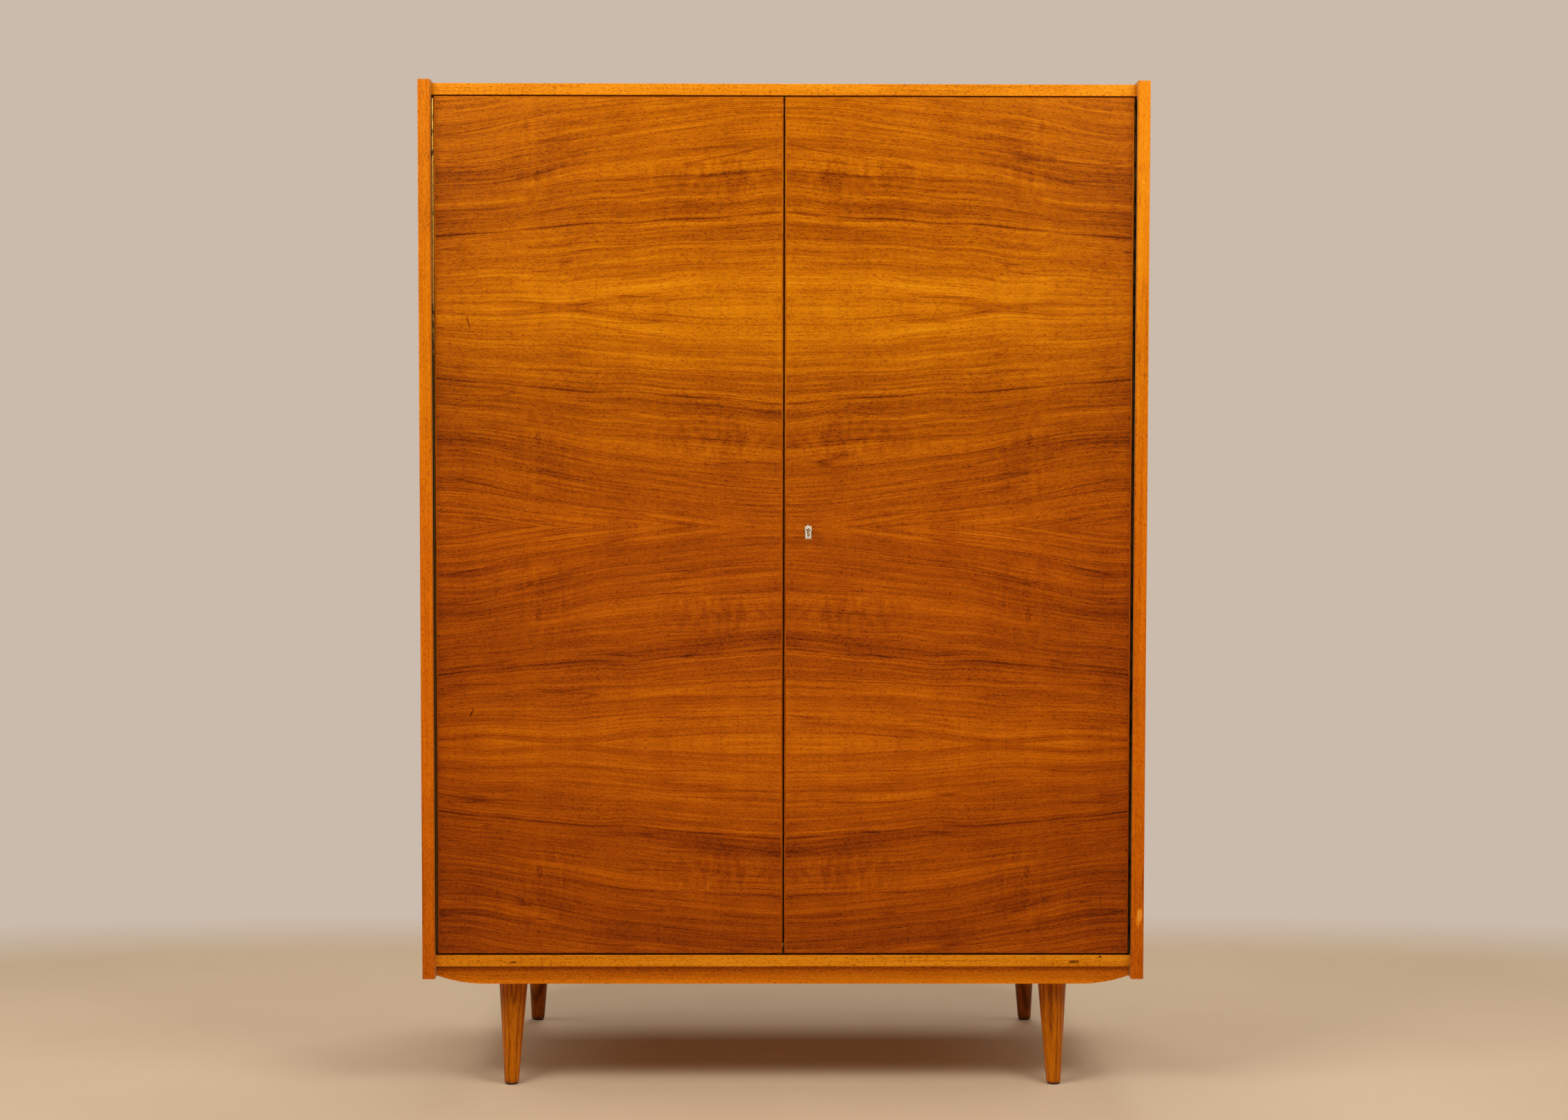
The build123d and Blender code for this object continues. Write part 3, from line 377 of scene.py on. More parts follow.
# %% The grain, once
def grain(b, along, across, depth, bold=1.0, flecks=1.0):
    """Light and dark of plain sliced wood, from 0 to 1.

    Broad bands, finer bands and hair lines are noises stretched along the grain. Short wavy dashes and pores
    lie on them. The bands set the shade, and the dark lines, dashes and pores are taken away from it. bold
    is the strength of bands and lines, and flecks that of dashes and pores.
    """
    broad = b.noise(along * 1.7, across * 44.0, depth, detail=3.0, rough=0.6, twist=0.12)
    fine = b.noise(along * 3.6, across * 230.0, depth * 1.7, detail=3.0, rough=0.68)
    hair = b.noise(along * 9.0, across * 1000.0, depth * 2.3, detail=2.0)
    edge = b.noise(along * 1.3, across * 46.0, depth + 7.3, detail=1.0, rough=0.5)
    line = b.slide(abs(edge - 0.5), 0.0, 0.016, 1.0, 0.0) * b.slide(fine, 0.36, 0.62)
    wave = b.noise(along * 75.0, across * 260.0, depth, detail=1.0)
    dash = b.slide(b.noise(along * 190.0, across * 760.0 + wave * 2.2, depth, detail=1.0), 0.54, 0.68)
    pore = b.slide(b.noise(along * 150.0, across * 2300.0, depth, detail=1.0), 0.60, 0.70)
    cloud = b.noise(along * 16.0, across * 6.0, depth + 3.0, detail=3.0)
    shade = 0.56 + (broad - 0.5) * (0.80 * bold) + (fine - 0.5) * (0.72 * bold) + (hair - 0.5) * (0.50 * bold)
    shade = shade + (cloud - 0.5) * 0.20 + (wave - 0.5) * 0.16
    shade = shade - line * (0.30 * bold) - dash * (0.13 * flecks) - pore * (0.14 * flecks)
    return shade, pore, dash


# %% Fold it over the doors
STREAK = 0.112  # how far from the joint's mirror line the dark streak between gold and brown wood lies
PORE_DEPTH = 0.00006  # in metres
KNOTS = [((0.405, 0.214), (0.006, 0.013), 1.0), ((0.425, 0.300), (0.005, 0.016), 0.5)]
FLAMES = [((0.400, 0.192), (0.005, 0.014), 1.0), ((0.414, 0.211), (0.004, 0.020), 1.0)]
CURLS = [((0.12, 0.215), (0.13, 0.040), 1.0), ((0.40, 0.24), (0.07, 0.10), 0.7)]
SCRATCH = {"at": (-0.52, 1.282), "slant": (0.97, 0.24), "half": (0.0017, 0.013)}
DENT = {"at": (-0.517, 0.637), "slant": (0.92, -0.38), "half": (0.0016, 0.009)}


def spots(b, across, along, places):
    """The sum of ovals, each a middle, its half sizes and a strength."""
    return sum((b.spot(across, along, at, half) * strength for at, half, strength in places), start=0.0)


def slanted(b, x, z, mark):
    """A narrow oval leaned over: across it runs x times one slant plus z times the other."""
    (lean, rise), (at_x, at_z) = mark["slant"], mark["at"]
    return b.spot(x * lean + z * rise, z, (at_x * lean + at_z * rise, at_z), mark["half"])


def door_veneer():
    """Sheets folded open at the joints, with the grain rising towards the joint line of the two doors.

    u is the distance from that line and v the distance from the nearest of the outer joints. g, which the
    grain lines follow, is v less a rise that fades out across the door, plus a slow wander. The last two
    shades make the wood a little lighter above the middle and darker near the floor, and the darkening near
    the floor is painted shade.
    """
    b = Bench("door_veneer", **SATIN)
    x, y, z = b.place()
    u = abs(x)
    v = b.math("MINIMUM", abs(z - JOINTS[0]), abs(z - JOINTS[2]))
    sheet = b.math("GREATER_THAN", z, JOINTS[0]) + b.math("GREATER_THAN", z, JOINTS[1])
    sheet = sheet + b.math("GREATER_THAN", z, JOINTS[2])
    depth = sheet * 0.11 + b.math("GREATER_THAN", x, 0.0) * 0.06
    rise = (b.math("MINIMUM", v, 0.26) * 0.22 + 0.012) * (1.0 - (u / DOOR_WIDTH) ** 1.35)
    wander = (b.noise(u * 4.5, v * 6.0, depth, detail=1.0) - 0.5) * (u * 0.05 + 0.012)
    g = v - rise + wander
    shade, pore, dash = grain(b, u, g, depth, bold=0.85, flecks=1.5)
    broken = b.slide(b.noise(u * 9.0, v * 3.0, depth), 0.30, 0.55)
    streak = b.slide(abs(g - STREAK), 0.0008, 0.0024, 1.0, 0.0) * broken
    brown = b.slide(g, STREAK - 0.004, STREAK + 0.010) * b.slide(g, STREAK + 0.006, STREAK + 0.073, 1.0, 0.0)
    gold = b.slide(g, 0.02, STREAK - 0.007, 1.0, 0.0)
    curl = (b.noise(u * 95.0, v * 26.0, depth, detail=2.0, twist=0.8) - 0.5) * spots(b, u, v, CURLS)
    rim = b.slide(u, 0.42, 0.575) * 0.07
    shade = shade + gold * 0.11 - 0.03 - brown * 0.09 - streak * 0.22 - rim
    shade = shade - spots(b, u, v, KNOTS) * 0.13 + spots(b, u, v, FLAMES) * 0.05 + curl * 0.40
    shade = shade - (slanted(b, x, z, SCRATCH) + slanted(b, x, z, DENT)) * 0.35
    # Lighter above the middle, and painted shade near the floor.
    shade = shade + b.slide(z, 1.02, 1.24, 0.0, 0.05) - b.slide(z, 0.23, 0.46, 0.09, 0.0)
    rough = 0.36 + dash * 0.06 + pore * 0.15
    # Painted shade: the lower sheets are tinted redder and darker.
    outer = painted_shade_low(b, b.shades(shade, *VENEER), z)
    plain = grain(b, z, x + y, depth + 5.0, bold=0.5)[0]
    base = b.mix(outer, b.shades(plain, *PALE_BOARD), b.math("GREATER_THAN", y, door_high.y - 0.001))
    return b.finish(base, rough, 0.0 - dash * 0.3 - pore * 0.6, PORE_DEPTH)


DOOR_VENEER = door_veneer()
print("made", DOOR_VENEER.name, "with", len(DOOR_VENEER.node_tree.nodes), "nodes")

# %% [markdown]
# ## Plain wood, along one direction
# The sides and the top are faced with the same wood, laid with its grain upright or from side to side. The
# solid lippings are a paler golden wood, and the inside is a plain pale board. One function makes them all:
# the axis that the grain follows comes first, and the rest is shades and scale. Old edges are never clean, so
# a few chips, scars and a let-in patch lie where a knee, a shoe or a broom has met them.


# %% Straight-grained boards
def straight_wood(name, axis, stops, bold=1.0, flecks=1.0, rough=0.40, wave=0.006, spread=0.0,
                  marks=(), inside=None, painted_shadow=None):
    """Wood whose grain follows one axis, x, y or z, with a slow wave across it.

    spread moves the noises so that no two woods share a pattern. marks are small blemishes: each is a
    strength, a middle (x, z) and half sizes, and a plus is bare pale wood and a minus a dark scar. inside
    says where the board shows its pale inner face. The last argument is the height range of a painted shadow,
    which darkens the wood towards the overhanging corner above. Upright outer wood is painted darker near the
    floor, a painted shade, and its lippings are painted lighter at the top right, a painted sheen, and darker
    at the top left, a painted shade.
    """
    b = Bench(name, **SATIN)
    x, y, z = b.place()
    along, side, other = {"x": (x, y, z), "y": (y, x, z), "z": (z, x, y)}[axis]
    across = side + other * 0.9 + (b.noise(along * 1.6, side * 3.0, other * 3.0, detail=1.0) - 0.5) * wave
    shade, pore, dash = grain(b, along, across, side * 14.0 + other * 9.0 + spread, bold, flecks)
    for sign, at, half in marks:
        shade = shade + b.spot(x, z, at, half) * (0.5 * sign)
    # Painted shadow under the overhanging lipping, darkest towards the corner above.
    if painted_shadow:
        shade = shade - b.slide(z, *painted_shadow, 0.0, 0.45)
    roughness = rough + dash * 0.06 + pore * 0.12
    outside = axis == "z" and stops in (GOLDEN, VENEER)
    # Painted shade: upright outer wood is darker near the floor.
    if outside:
        shade = shade - b.slide(z, 0.24, 0.60, 0.12, 0.0)
    # Painted sheen on the top of the right lipping, and painted shade on the top of the left one.
    if outside and stops == GOLDEN:
        shade = shade + b.slide(z, 1.20, 1.50) * b.slide(x, -0.5, 0.5, -0.10, 0.17)
    base = b.shades(shade, *stops)
    # Painted shade: upright outer wood is tinted redder and darker low down.
    if outside:
        base = painted_shade_low(b, base, z)
    if inside:
        base = b.mix(base, b.shades(shade, *PALE_BOARD), inside(b, x, y, z))
    return b.finish(base, roughness, 0.0 - dash * 0.3 - pore * 0.6, PORE_DEPTH)


SIDE_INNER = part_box("top_panel")[1].x
TOP_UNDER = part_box("top_panel")[0].z
HAIR = 0.0003  # a little more than nothing, so that the inner face itself counts as inside
UPRIGHT_VENEER = straight_wood(
    "upright_veneer", "z", VENEER, spread=4.0, wave=0.03,
    inside=lambda b, x, y, z: b.math("LESS_THAN", abs(x), SIDE_INNER + HAIR),
)
LEVEL_VENEER = straight_wood(
    "level_veneer", "x", VENEER, spread=9.0, wave=0.03, rough=0.5,
    inside=lambda b, x, y, z: b.math("LESS_THAN", z, TOP_UNDER + HAIR),
)
UPRIGHT_MARKS = [
    (1.2, (0.5930, 0.301), (0.0055, 0.013)),
    (0.7, (0.5900, 0.290), (0.0045, 0.010)),
    (-0.5, (0.597, 0.36), (0.001, 0.02)),
]
LEVEL_MARKS = [
    (-1.3, (0.4845, 0.2195), (0.0095, 0.0032)),
    (-0.9, (0.4930, 0.2195), (0.0014, 0.0036)),
    (-1.5, (0.529, 0.2280), (0.0034, 0.0026)),
    (-1.3, (-0.450, 0.2185), (0.0060, 0.0022)),
    (-0.8, (-0.262, 0.2262), (0.0016, 0.0012)),
    (-0.7, (0.118, 0.2132), (0.0040, 0.0010)),
]
UPRIGHT_LIPPING = straight_wood("upright_lipping", "z", GOLDEN, bold=0.55, flecks=1.6, marks=UPRIGHT_MARKS)
LEVEL_LIPPING = straight_wood(
    "level_lipping", "x", HONEY, bold=0.6, flecks=2.4, spread=2.0, marks=LEVEL_MARKS
)
APRON_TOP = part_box("front_apron")[1].z
# The apron's painted shadow: the band just under the overhanging lipping.
APRON_SHADOW = (APRON_TOP - 0.016, APRON_TOP - 0.004)
APRON_WOOD = straight_wood("apron_wood", "x", PAINTED_LIT_HONEY, bold=0.6, flecks=2.2, spread=12.0, painted_shadow=APRON_SHADOW)
DOOR_EDGING = straight_wood("door_edging", "z", VENEER, bold=0.5, spread=7.0)
PALE_LEVEL = straight_wood("pale_board_level", "x", PALE_BOARD, bold=0.5, rough=0.5)
PALE_UPRIGHT = straight_wood("pale_board_upright", "z", PALE_BOARD, bold=0.5, rough=0.5, spread=3.0)
PALE_ACROSS = straight_wood("pale_board_across", "y", PALE_BOARD, bold=0.5, rough=0.5, spread=6.0)
BACK_PLY = straight_wood("back_plywood", "z", PLYWOOD, bold=0.75, rough=0.6, wave=0.16, spread=5.0)
print("straight woods:", UPRIGHT_VENEER.name, LEVEL_VENEER.name, UPRIGHT_LIPPING.name, LEVEL_LIPPING.name)

# %% [markdown]
# ## Turned legs
# A leg is turned between centres from a square of solid wood, so it cuts through the yearly rings at a slant
# and shows long ovals and flames. The rings are the distance from a heart line that lies beside the leg, and
# the taper of the leg does the rest. The leg is darker at the foot, and painted darker under the case, a
# painted shade, and the rear pair is painted darker still, a painted shade for the shadow under the wardrobe.


# %% Leg wood
LEG_OUT = 0.4575
ROWS_MIDDLE, ROWS_HALF = 0.006, 0.2215  # halfway between the front and rear legs, and half their distance
HEART = (-0.004, 0.030)  # where the heart line is, seen from the leg's own middle
RING_TURNS = 900.0


def leg_wood():
    """Rings round a heart line beside each leg, with fine pores along it.

    The distance from the heart line is the root of the two squares, bent by a slow noise, and the rings are
    its sine. Its fourth power leaves narrow dark lines of late wood with wide pale wood between them.
    """
    b = Bench("turned_leg_wood", **SATIN)
    x, y, z = b.place()
    right = b.math("GREATER_THAN", x, 0.0)
    across = abs(x) - LEG_OUT + right * 0.003
    deep = abs(y - ROWS_MIDDLE) - ROWS_HALF
    bend = (b.noise(x * 9.0, y * 9.0, z * 5.0, detail=2.0) - 0.5) * 0.020
    ring = ((across - HEART[0] + (z - 0.1) * 0.02) ** 2.0 + ((deep - HEART[1]) * 0.8) ** 2.0) ** 0.5 + bend
    bands = b.math("SINE", ring * RING_TURNS) * 0.5 + 0.5
    late = bands ** 4.0
    fibre = b.noise(x * 900.0, y * 900.0, z * 14.0, detail=2.0)
    pore = b.slide(b.noise(x * 1500.0, y * 1500.0, z * 120.0, detail=1.0), 0.62, 0.70)
    shade = 0.60 + (fibre - 0.5) * 0.7 - late * 0.24 + (b.noise(x * 60.0, y * 60.0, z * 9.0) - 0.5) * 0.4
    # Darker in the lowest centimetre, and a painted shade under the case near the shoulder.
    shade = shade - pore * 0.14 - b.slide(z, 0.0, 0.012, 0.18, 0.0) - b.slide(z, 0.10, 0.18, 0.0, 0.10)
    # Painted shade: the rear legs are darker, for the shadow under the wardrobe.
    shade = shade - b.slide(y, 0.10, 0.16) * 0.30 - 0.10
    return b.finish(b.shades(shade, *LEG), 0.36 + pore * 0.15, 0.0 - pore - late * 0.2, 0.00005)


LEG = (
    (0.00, colour(96, 38, 0)),
    (0.30, colour(164, 80, 0)),
    (0.55, colour(204, 112, 2)),
    (0.80, colour(228, 138, 14)),
    (1.00, colour(244, 168, 50)),
)
LEG_WOOD = leg_wood()
print("made", LEG_WOOD.name)

# %% [markdown]
# ## Metals and plastic
# The hinges are rolled brass: the left one is bright above and dull lower down, and the right one is painted
# dark all the way down, a painted shade. The key and its plate are nickelled, the screws are steel and the
# glides are dark plastic. Metal is told by how it mirrors, so these finishes live in roughness: fine brushed
# lines, cloudy handling marks and a few pits.


# %% Metals
BRUSHED = {True: 40.0, False: 2500.0}  # lines per metre along the brushing and across it


def metal(name, bright, dull, tarnish=0.35, rough=0.28, brushed="z", fade=None):
    """Metal with fine brushed lines, long along one axis, and cloudy tarnish.

    fade is the height range below which it has dulled.
    """
    b = Bench(name, Metallic=1.0)
    x, y, z = b.place()
    brush = b.noise(*(place * BRUSHED[axis == brushed] for axis, place in zip("xyz", (x, y, z))), detail=1.0)
    cloud = b.noise(x * 120.0, y * 120.0, z * 60.0, detail=3.0)
    pit = b.slide(b.noise(x * 1400.0, y * 1400.0, z * 1400.0, detail=1.0), 0.66, 0.74)
    gone = b.slide(cloud, 0.72 - tarnish * 0.6, 0.95 - tarnish * 0.6)
    if fade:
        gone = b.math("MAXIMUM", gone, b.slide(z + (cloud - 0.5) * 0.3, fade[0], fade[1], 1.0, 0.0))
    base = b.mix(bright, dull, gone)
    roughness = rough + (brush - 0.5) * 0.16 + gone * 0.22 + pit * 0.2
    return b.finish(base, roughness, (brush - 0.5) * 0.3 - pit * 0.5, 0.00002)


HINGE_BRASS = metal("hinge_brass", colour(236, 196, 96), colour(92, 74, 34), tarnish=0.4, fade=(1.22, 1.36))
# The right hinge is painted dark, a painted shade for the shadow it stands in.
SHADED_BRASS = metal("painted_shade_brass", colour(64, 50, 26), colour(22, 16, 9), tarnish=0.5, rough=0.42)
FITTING_BRASS = metal("fitting_brass", colour(226, 190, 106), colour(128, 100, 52), tarnish=0.3)
NICKEL = metal("nickel_plate", colour(236, 226, 208), colour(150, 132, 108), tarnish=0.25, rough=0.22)
RAIL_NICKEL = metal("rail_nickel", colour(226, 220, 208), colour(140, 128, 112), rough=0.24, brushed="x")
STEEL = metal("screw_steel", colour(186, 184, 178), colour(104, 96, 86), tarnish=0.4, rough=0.34)


def plastic():
    """Dark moulded plastic, scuffed grey where it slides."""
    b = Bench("glide_plastic", Specular_IOR_Level=0.4)
    x, y, z = b.place()
    scuff = b.slide(b.noise(x * 300.0, y * 300.0, z * 80.0, detail=3.0), 0.5, 0.7)
    base = b.mix(colour(52, 34, 24), colour(96, 78, 62), scuff * 0.6)
    return b.finish(base, 0.5 + scuff * 0.2, scuff, 0.00005)


PLASTIC = plastic()
print("metals and plastic made")

# %% [markdown]
# ## Round pieces from rings
# Legs, pads, tubes and key are all round or ring shaped, and a lathe or a die made them. On a grid that is a
# stack of rings: the first parameter goes along the piece and the second one round it. One function joins
# the rings with four-sided faces, closes the ends and turns every face outwards, so each piece is only its
# formula.


# %% Skin over rings
def ring_faces(count, points, joined, start):
    """Join point i of each ring to point i + 1, and both to the next ring: one four-sided face each."""
    row, column = np.meshgrid(np.arange(count if joined else count - 1), np.arange(points), indexing="ij")
    next_row, next_column = (row + 1) % count, (column + 1) % points
    corners = [(row, column), (row, next_column), (next_row, next_column), (next_row, column)]
    return np.stack([start + r * points + c for r, c in corners], axis=-1).reshape(-1, 4)


def skin(name, stacks, finish, body, stands_for, sharp=38):
    """One object from stacks of rings, each an array (rings, points, 3) and whether its two ends join.

    An open stack is closed by a flat face at each end. If the faces enclose a negative volume, which is the
    sum of every face's corner times the cross product of its edges, they are all turned over.
    """
    places, faces = [], []
    for rings, joined in stacks:
        start = sum(len(block) for block in places)
        count, points = rings.shape[:2]
        block = rings.reshape(-1, 3)
        own = ring_faces(count, points, joined, 0)
        a, b, c, d = (block[own[:, corner]] for corner in range(4))
        inner = 0.0 if joined else ends_volume(rings)
        volume = np.sum(a * (np.cross(b, c) + np.cross(c, d))) / 6 + inner
        own = (own + start).tolist()
        if not joined:
            own += [list(range(start + points - 1, start - 1, -1))]
            own += [list(range(start + (count - 1) * points, start + count * points))]
        faces += own if volume > 0 else [face[::-1] for face in own]
        places.append(block)
    mesh = bpy.data.meshes.new(name)
    mesh.from_pydata(np.concatenate(places).tolist(), [], faces)
    mesh.validate()
    mesh.shade_smooth()
    mesh.set_sharp_from_angle(angle=math.radians(sharp))
    mesh.materials.append(finish)
    made = bpy.data.objects.new(name, mesh)
    bpy.context.scene.collection.objects.link(made)
    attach(made, body)
    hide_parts(*stands_for)
    print(name, "has", len(mesh.vertices), "points and", len(mesh.polygons), "faces")
    return made


def ends_volume(rings):
    """What the two flat end faces add to the volume: a fan of triangles from each end's first point."""
    total = 0.0
    for ring, way in ((rings[0], -1), (rings[-1], 1)):
        total += way * np.sum(ring[0] * np.cross(ring[1:-1], ring[2:])) / 6
    return total


def circle(points):
    """Angles evenly spaced round a circle."""
    return np.linspace(0, 2 * np.pi, points, endpoint=False)


def turned(profile, start, along, points=64):
    """Rings of a turned piece: each profile row is a distance along the axis and a radius."""
    along = np.array(along, float)
    aside = np.cross(along, (0.3, 0.5, 0.8))
    aside /= np.linalg.norm(aside)
    across = np.cross(along, aside)
    angle = circle(points)[None, :, None]
    distance, radius = (np.array(profile, float).T)[:, :, None, None]
    outwards = aside * np.cos(angle) + across * np.sin(angle)
    return np.array(start, float) + along * distance + radius * outwards


# %% [markdown]
# ## Legs and their pads
# Each leg is turned to a slow taper, splayed a little and cut level. The rings are level too, so foot and
# shoulder come out flat without any cutting: their middles slide along the splayed heart line, and their
# radius is the one parabola through foot, middle and shoulder. A small round-over keeps the foot from
# chipping.

# %% Turn the legs
LEG_RADII = (0.012, 0.0186, 0.0245)
LEG_STATIONS = (0.0, 0.55, 1.0)  # the shares of the height at which those radii are taken
SPLAY = {"front": (0.0035, -0.004), "rear": (0.0035, 0.002)}  # how far a foot stands outwards, and back
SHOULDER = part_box("front_apron")[0].z
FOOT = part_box("glides")[1].z
FOOT_ROUND = 0.0015
TENON = (0.014, 0.028)
PAD_PROFILE = [(0.0, 0.0092), (0.0002, 0.0100), (0.0008, 0.0108), (0.0014, 0.0110), (FOOT, 0.0110)]
taper = np.polyfit(LEG_STATIONS, LEG_RADII, 2)


def leg_rings(shoulder_middle, splay):
    """Level rings of radius taper(height), whose middles slide from the foot to the shoulder."""
    curve = np.linspace(0, np.pi / 2, 6)
    low = FOOT + FOOT_ROUND * (1 - np.cos(curve))
    shy = FOOT_ROUND * (1 - np.sin(curve))
    height = np.concatenate([low, np.linspace(FOOT + 0.006, SHOULDER, 40)])
    shy = np.concatenate([shy, np.zeros(40)])
    share = height / SHOULDER
    radius = np.polyval(taper, share) - shy
    height = np.append(height, [SHOULDER, SHOULDER + TENON[1]])
    radius = np.append(radius, [TENON[0], TENON[0]])
    middle = np.array(shoulder_middle) + (1 - np.minimum(height / SHOULDER, 1))[:, None] * np.array(splay)
    angle = circle(64)
    x = middle[:, :1] + radius[:, None] * np.cos(angle)
    y = middle[:, 1:] + radius[:, None] * np.sin(angle)
    return np.stack([x, y, np.broadcast_to(height[:, None], x.shape)], axis=-1)


pads = []
for row in ("front", "rear"):
    for hand, outwards in (("left", -1), ("right", 1)):
        low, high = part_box(f"leg_{row}_{hand}")
        splay = (outwards * SPLAY[row][0], SPLAY[row][1])
        middle = ((low.x + high.x) / 2, (low.y + high.y) / 2)
        rings = leg_rings(middle, splay)
        stands_for = [f"leg_{row}_{hand}"]
        skin(f"turned_leg_{row}_{hand}", [(rings, False)], LEG_WOOD, "carcass", stands_for)
        under = (middle[0] + splay[0], middle[1] + splay[1], 0)
        pads.append((turned(PAD_PROFILE, under, (0, 0, 1), 40), False))
skin("glide_pads", pads, PLASTIC, "carcass", ["glides"])

# %% [markdown]
# ## The keyhole plate
# The plate is stamped from nickelled sheet: a round head on a square-ended foot, with a soft outer edge and a
# keyhole cut through. Both outlines can be seen whole from the key's axis, so each is one distance for each
# direction, and the face between them is a straight blend from the inner outline to the outer one.

# %% Plate
plate_low, plate_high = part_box("escutcheon")
HEAD_R = (plate_high.x - plate_low.x) / 2
KEY_X, KEY_Z = (plate_low.x + plate_high.x) / 2, plate_high.z - HEAD_R
KEYHOLE = {"round": 0.003, "half_slot": 0.0013, "slot": 0.011}
PLATE_FOOT_HALF = 0.0057


def key_shape(angle, radius, half_width, length):
    """In each direction, the further of a circle's radius and the way out of a strip below its middle."""
    across, down = np.abs(np.sin(angle)), np.cos(angle)
    with np.errstate(divide="ignore"):
        strip = np.minimum(half_width / across, np.where(down > 0, length / down, 0))
    return np.maximum(radius, np.where(down > 0, strip, 0))


def plate_rings():
    """Rings from the keyhole's back edge over the face to the rim's back edge.

    out is each ring's share of the way from the keyhole to the rim, and back its depth behind the face.
    """
    turn = circle(320)
    hole = key_shape(turn, KEYHOLE["round"], KEYHOLE["half_slot"], KEYHOLE["slot"])
    rim = key_shape(turn, HEAD_R, PLATE_FOOT_HALF, KEY_Z - plate_low.z)
    depth = plate_high.y - plate_low.y
    out = np.array([0.0, 0.0, 0.02, 0.06, 0.2, 0.5, 0.78, 0.88, 0.94, 0.98, 1.0, 1.0])
    back = np.array([depth, 0.25, 0.1, 0.02, 0.0, 0.0, 0.03, 0.12, 0.28, 0.52, 0.8, depth])
    back[1:-1] /= 1000  # the rounding is given in millimetres
    reach = hole + out[:, None] * (rim - hole)
    x = KEY_X + reach * np.sin(turn)
    z = KEY_Z - reach * np.cos(turn)
    return np.stack([x, np.broadcast_to((plate_low.y + back)[:, None], x.shape), z], axis=-1)


skin("keyhole_plate", [(plate_rings(), True)], NICKEL, "right_door", ["escutcheon"])
print("key axis at", round(KEY_X, 4), round(KEY_Z, 4))

# %% [markdown]
# ## The key
# A small barrel key: an oval cast bow, a turned shank with a collar, a hollow end that fits over the lock's
# pin, and a notched bit. It has been left a few degrees off upright. The bow is a flattened round section
# carried round an oval; the shank is turned; the bit is its outline drawn in and out to round its edges.

# %% Key
key_low, key_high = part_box("key")
LEAN = math.radians(4.6)
TOWARDS = np.array([0.0, -1.0, 0.0])
UPWARDS = np.array([-math.sin(LEAN), 0.0, math.cos(LEAN)])
THROUGH = np.cross(TOWARDS, UPWARDS)
FLATTENED = 0.6
BOW = {"deep": 0.019, "high": 0.023, "ring": 0.0034, "thick": 0.0025}
BIT = {"wide": 0.006, "reach": 0.009, "thick": 0.0022, "notch": 0.0016, "notch_deep": 0.002}
BORE = (0.00138, 0.0116)  # radius and depth
BIT_MIDDLE = (door_low.y + door_high.y) / 2
bow_middle = np.array([KEY_X, key_low.y + BOW["deep"] / 2, KEY_Z])


def bow_rings():
    """An oval heart line; round it, a section whose two halves follow cos and sin to a power below 1."""
    way = circle(120)
    half_deep, half_high = (BOW["deep"] - BOW["ring"]) / 2, (BOW["high"] - BOW["ring"]) / 2
    forth, up = np.cos(way)[:, None] * TOWARDS, np.sin(way)[:, None] * UPWARDS
    heart = bow_middle + half_deep * forth + half_high * up
    normal = forth / half_deep + up / half_high
    normal /= np.linalg.norm(normal, axis=1)[:, None]
    turn = circle(28)
    wide = np.sign(np.cos(turn)) * np.abs(np.cos(turn)) ** FLATTENED * BOW["ring"] / 2
    thick = np.sign(np.sin(turn)) * np.abs(np.sin(turn)) ** FLATTENED * BOW["thick"] / 2
    return heart[:, None] + wide[None, :, None] * normal[:, None] + thick[None, :, None] * THROUGH


def bit_rings():
    """The bit's notched outline, drawn in by a tenth of a millimetre at both faces."""
    half, reach, notch, deep = BIT["wide"] / 2, BIT["reach"], BIT["notch"] / 2, BIT["notch_deep"]
    outline = np.array([
        (-half, 0), (half, 0), (half, -reach), (notch, -reach), (notch, deep - reach),
        (-notch, deep - reach), (-notch, -reach), (-half, -reach),
    ])
    rings = []
    for shy, at in ((0.0001, -0.5), (0.0, -0.44), (0.0, 0.44), (0.0001, 0.5)):
        drawn_in = outline * (1 - shy / half)
        rings.append(
            np.array([KEY_X, BIT_MIDDLE, KEY_Z])
            + drawn_in[:, :1] * TOWARDS
            + drawn_in[:, 1:] * UPWARDS
            + at * BIT["thick"] * THROUGH
        )
    return np.array(rings)


shank_start = key_low.y + BOW["deep"] - BOW["ring"] / 2
shank_end = key_high.y - shank_start
shank_profile = [
    (0.0, 0.0016), (0.0004, 0.0022), (0.0010, 0.0025), (0.0019, 0.0025), (0.0020, 0.0032), (0.0023, 0.0036),
    (0.0033, 0.0036), (0.0036, 0.0032), (0.0037, 0.0025), (shank_end - 0.0004, 0.0025), (shank_end, 0.0022),
    (shank_end, BORE[0]), (shank_end - BORE[1], BORE[0]),
]
shank = turned(shank_profile, (KEY_X, shank_start, KEY_Z), (0, 1, 0), 40)
key_stacks = [(bow_rings(), True), (shank, False), (bit_rings(), False)]
skin("barrel_key", key_stacks, NICKEL, "key", ["key"])
print("key from", round(key_low.y, 4), "to", round(key_high.y, 4))

# %% [markdown]
# ## The clothes rail
# A length of nickelled steel tube lies between two sockets. Its open bore hardly shows, but a tube is as
# easy as a rod: the stack of rings runs out along the outside and back along the inside.

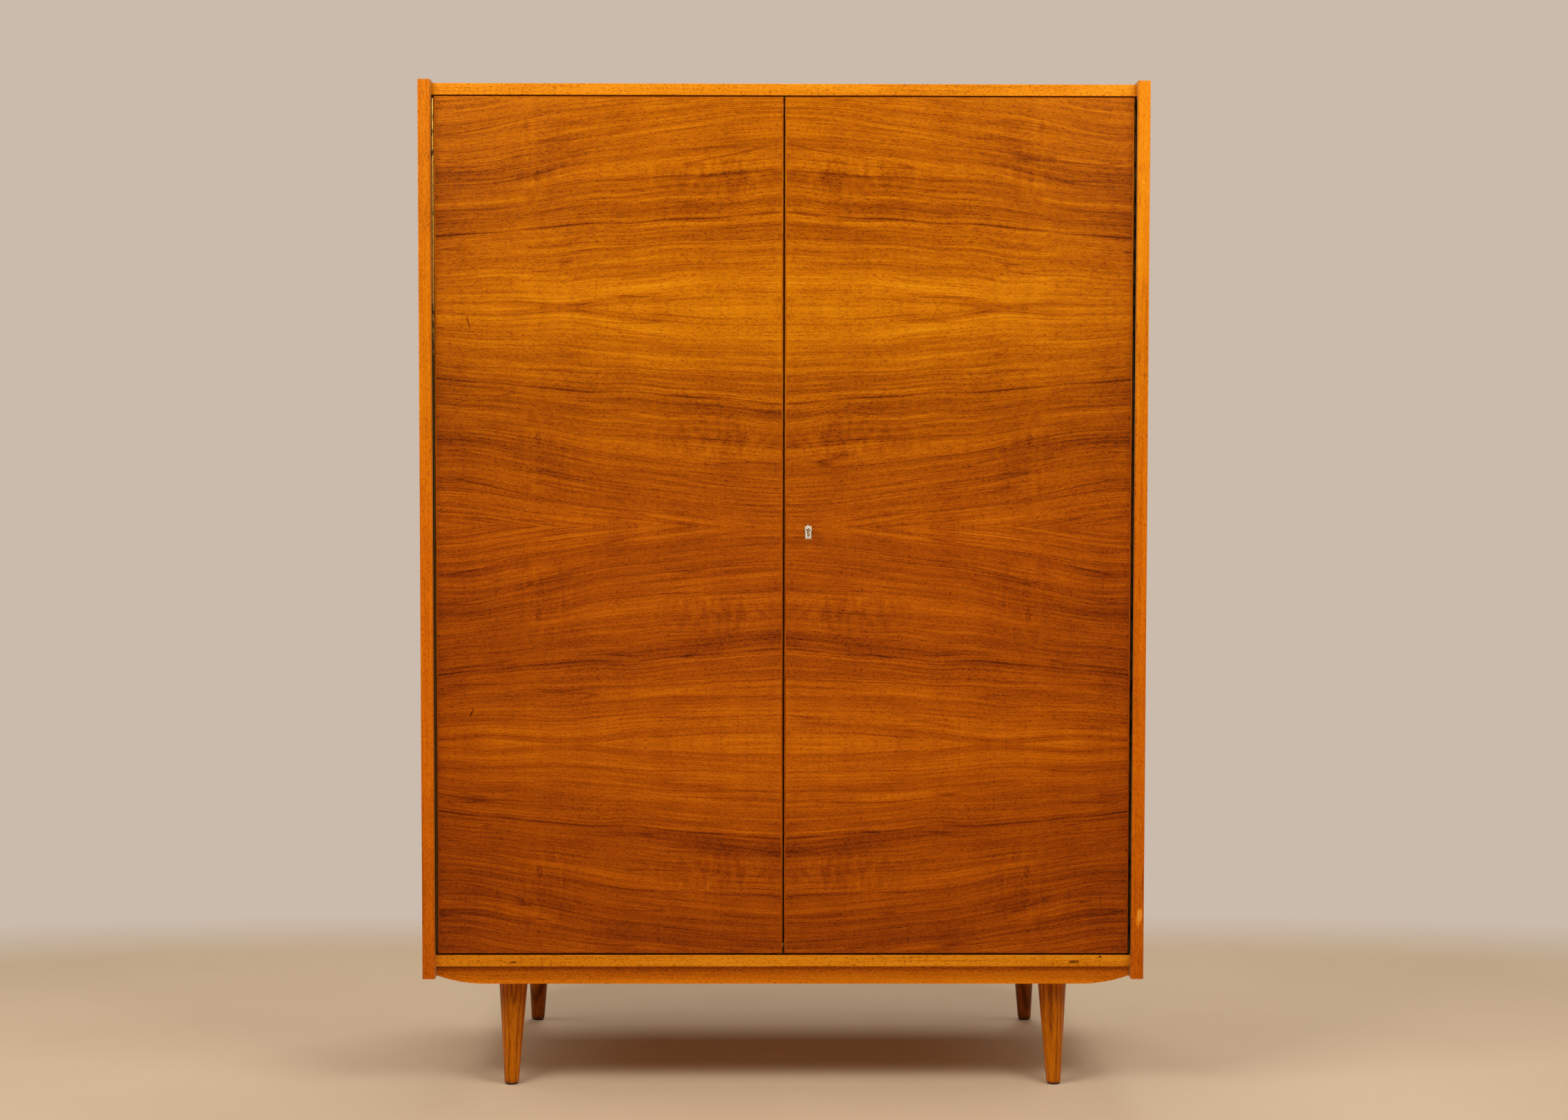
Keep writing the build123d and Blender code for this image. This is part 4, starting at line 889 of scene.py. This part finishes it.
# %% Rail
rail_low, rail_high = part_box("clothes_rail")
RAIL_WALL = 0.0015
RAIL_ARRIS = 0.0003
rail_r = (rail_high.z - rail_low.z) / 2
rail_long = rail_high.x - rail_low.x
rail_profile = [
    (RAIL_ARRIS, rail_r), (rail_long / 2, rail_r), (rail_long - RAIL_ARRIS, rail_r),
    (rail_long, rail_r - RAIL_ARRIS), (rail_long, rail_r - RAIL_WALL),
    (0.0, rail_r - RAIL_WALL), (0.0, rail_r - RAIL_ARRIS),
]
rail_start = (rail_low.x, (rail_low.y + rail_high.y) / 2, (rail_low.z + rail_high.z) / 2)
rail_rings = turned(rail_profile, rail_start, (1, 0, 0))
skin("clothes_rail_tube", [(rail_rings, True)], RAIL_NICKEL, "carcass", ["clothes_rail"])

# %% [markdown]
# ## Hand the finishes out
# The boards and fittings that came from the frame keep their meshes, which are right already. Each gets its
# finish by name, and the print at the end shows whether one was forgotten.

# %% Hand the finishes out
FINISHES = {
    DOOR_VENEER: ["left_door_panel", "right_door_panel"],
    UPRIGHT_VENEER: ["side_panel_left", "side_panel_right"],
    LEVEL_VENEER: ["top_panel"],
    UPRIGHT_LIPPING: ["side_lipping_left", "side_lipping_right"],
    DOOR_EDGING: ["left_door_edging", "right_door_edging"],
    LEVEL_LIPPING: ["top_lipping", "bottom_lipping"],
    APRON_WOOD: ["front_apron"],
    PALE_LEVEL: [
        "bottom_panel", "shelf_1", "shelf_2", "shelf_3", "shelf_4", "hat_shelf", "rear_apron", "door_stops",
    ],
    PALE_UPRIGHT: ["partition", "partition_lipping"],
    PALE_ACROSS: ["shelf_cleats", "cross_rail_left", "cross_rail_right", "dowels"],
    BACK_PLY: ["back_panel"],
    HINGE_BRASS: ["left_hinge_case_leaf", "left_hinge_door_leaf", "left_hinge_pin", "hinge_screws_in_case"],
    SHADED_BRASS: ["right_hinge_case_leaf", "right_hinge_door_leaf", "right_hinge_pin"],
    FITTING_BRASS: [
        "edge_bolt_cases", "door_strike_plate", "case_strike_plates", "lock_forend", "lock_bolt", "top_bolt",
        "bottom_bolt", "screws_in_left_door", "screws_in_right_door",
    ],
    RAIL_NICKEL: ["rail_sockets"],
    STEEL: [
        "back_nails", "base_screws", "cleat_screws", "fitting_screws_in_case", "shelf_pins", "lock_case",
        "lock_cover", "lock_spring",
    ],
}
for finish, names in FINISHES.items():
    for name in names:
        node_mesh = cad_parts[name].data
        node_mesh.materials.clear()
        node_mesh.materials.append(finish)
shown = {name for name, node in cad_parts.items() if not node.hide_render}
unfinished = sorted(shown - {name for names in FINISHES.values() for name in names})
print("finished:", sum(len(names) for names in FINISHES.values()), "left over:", unfinished)
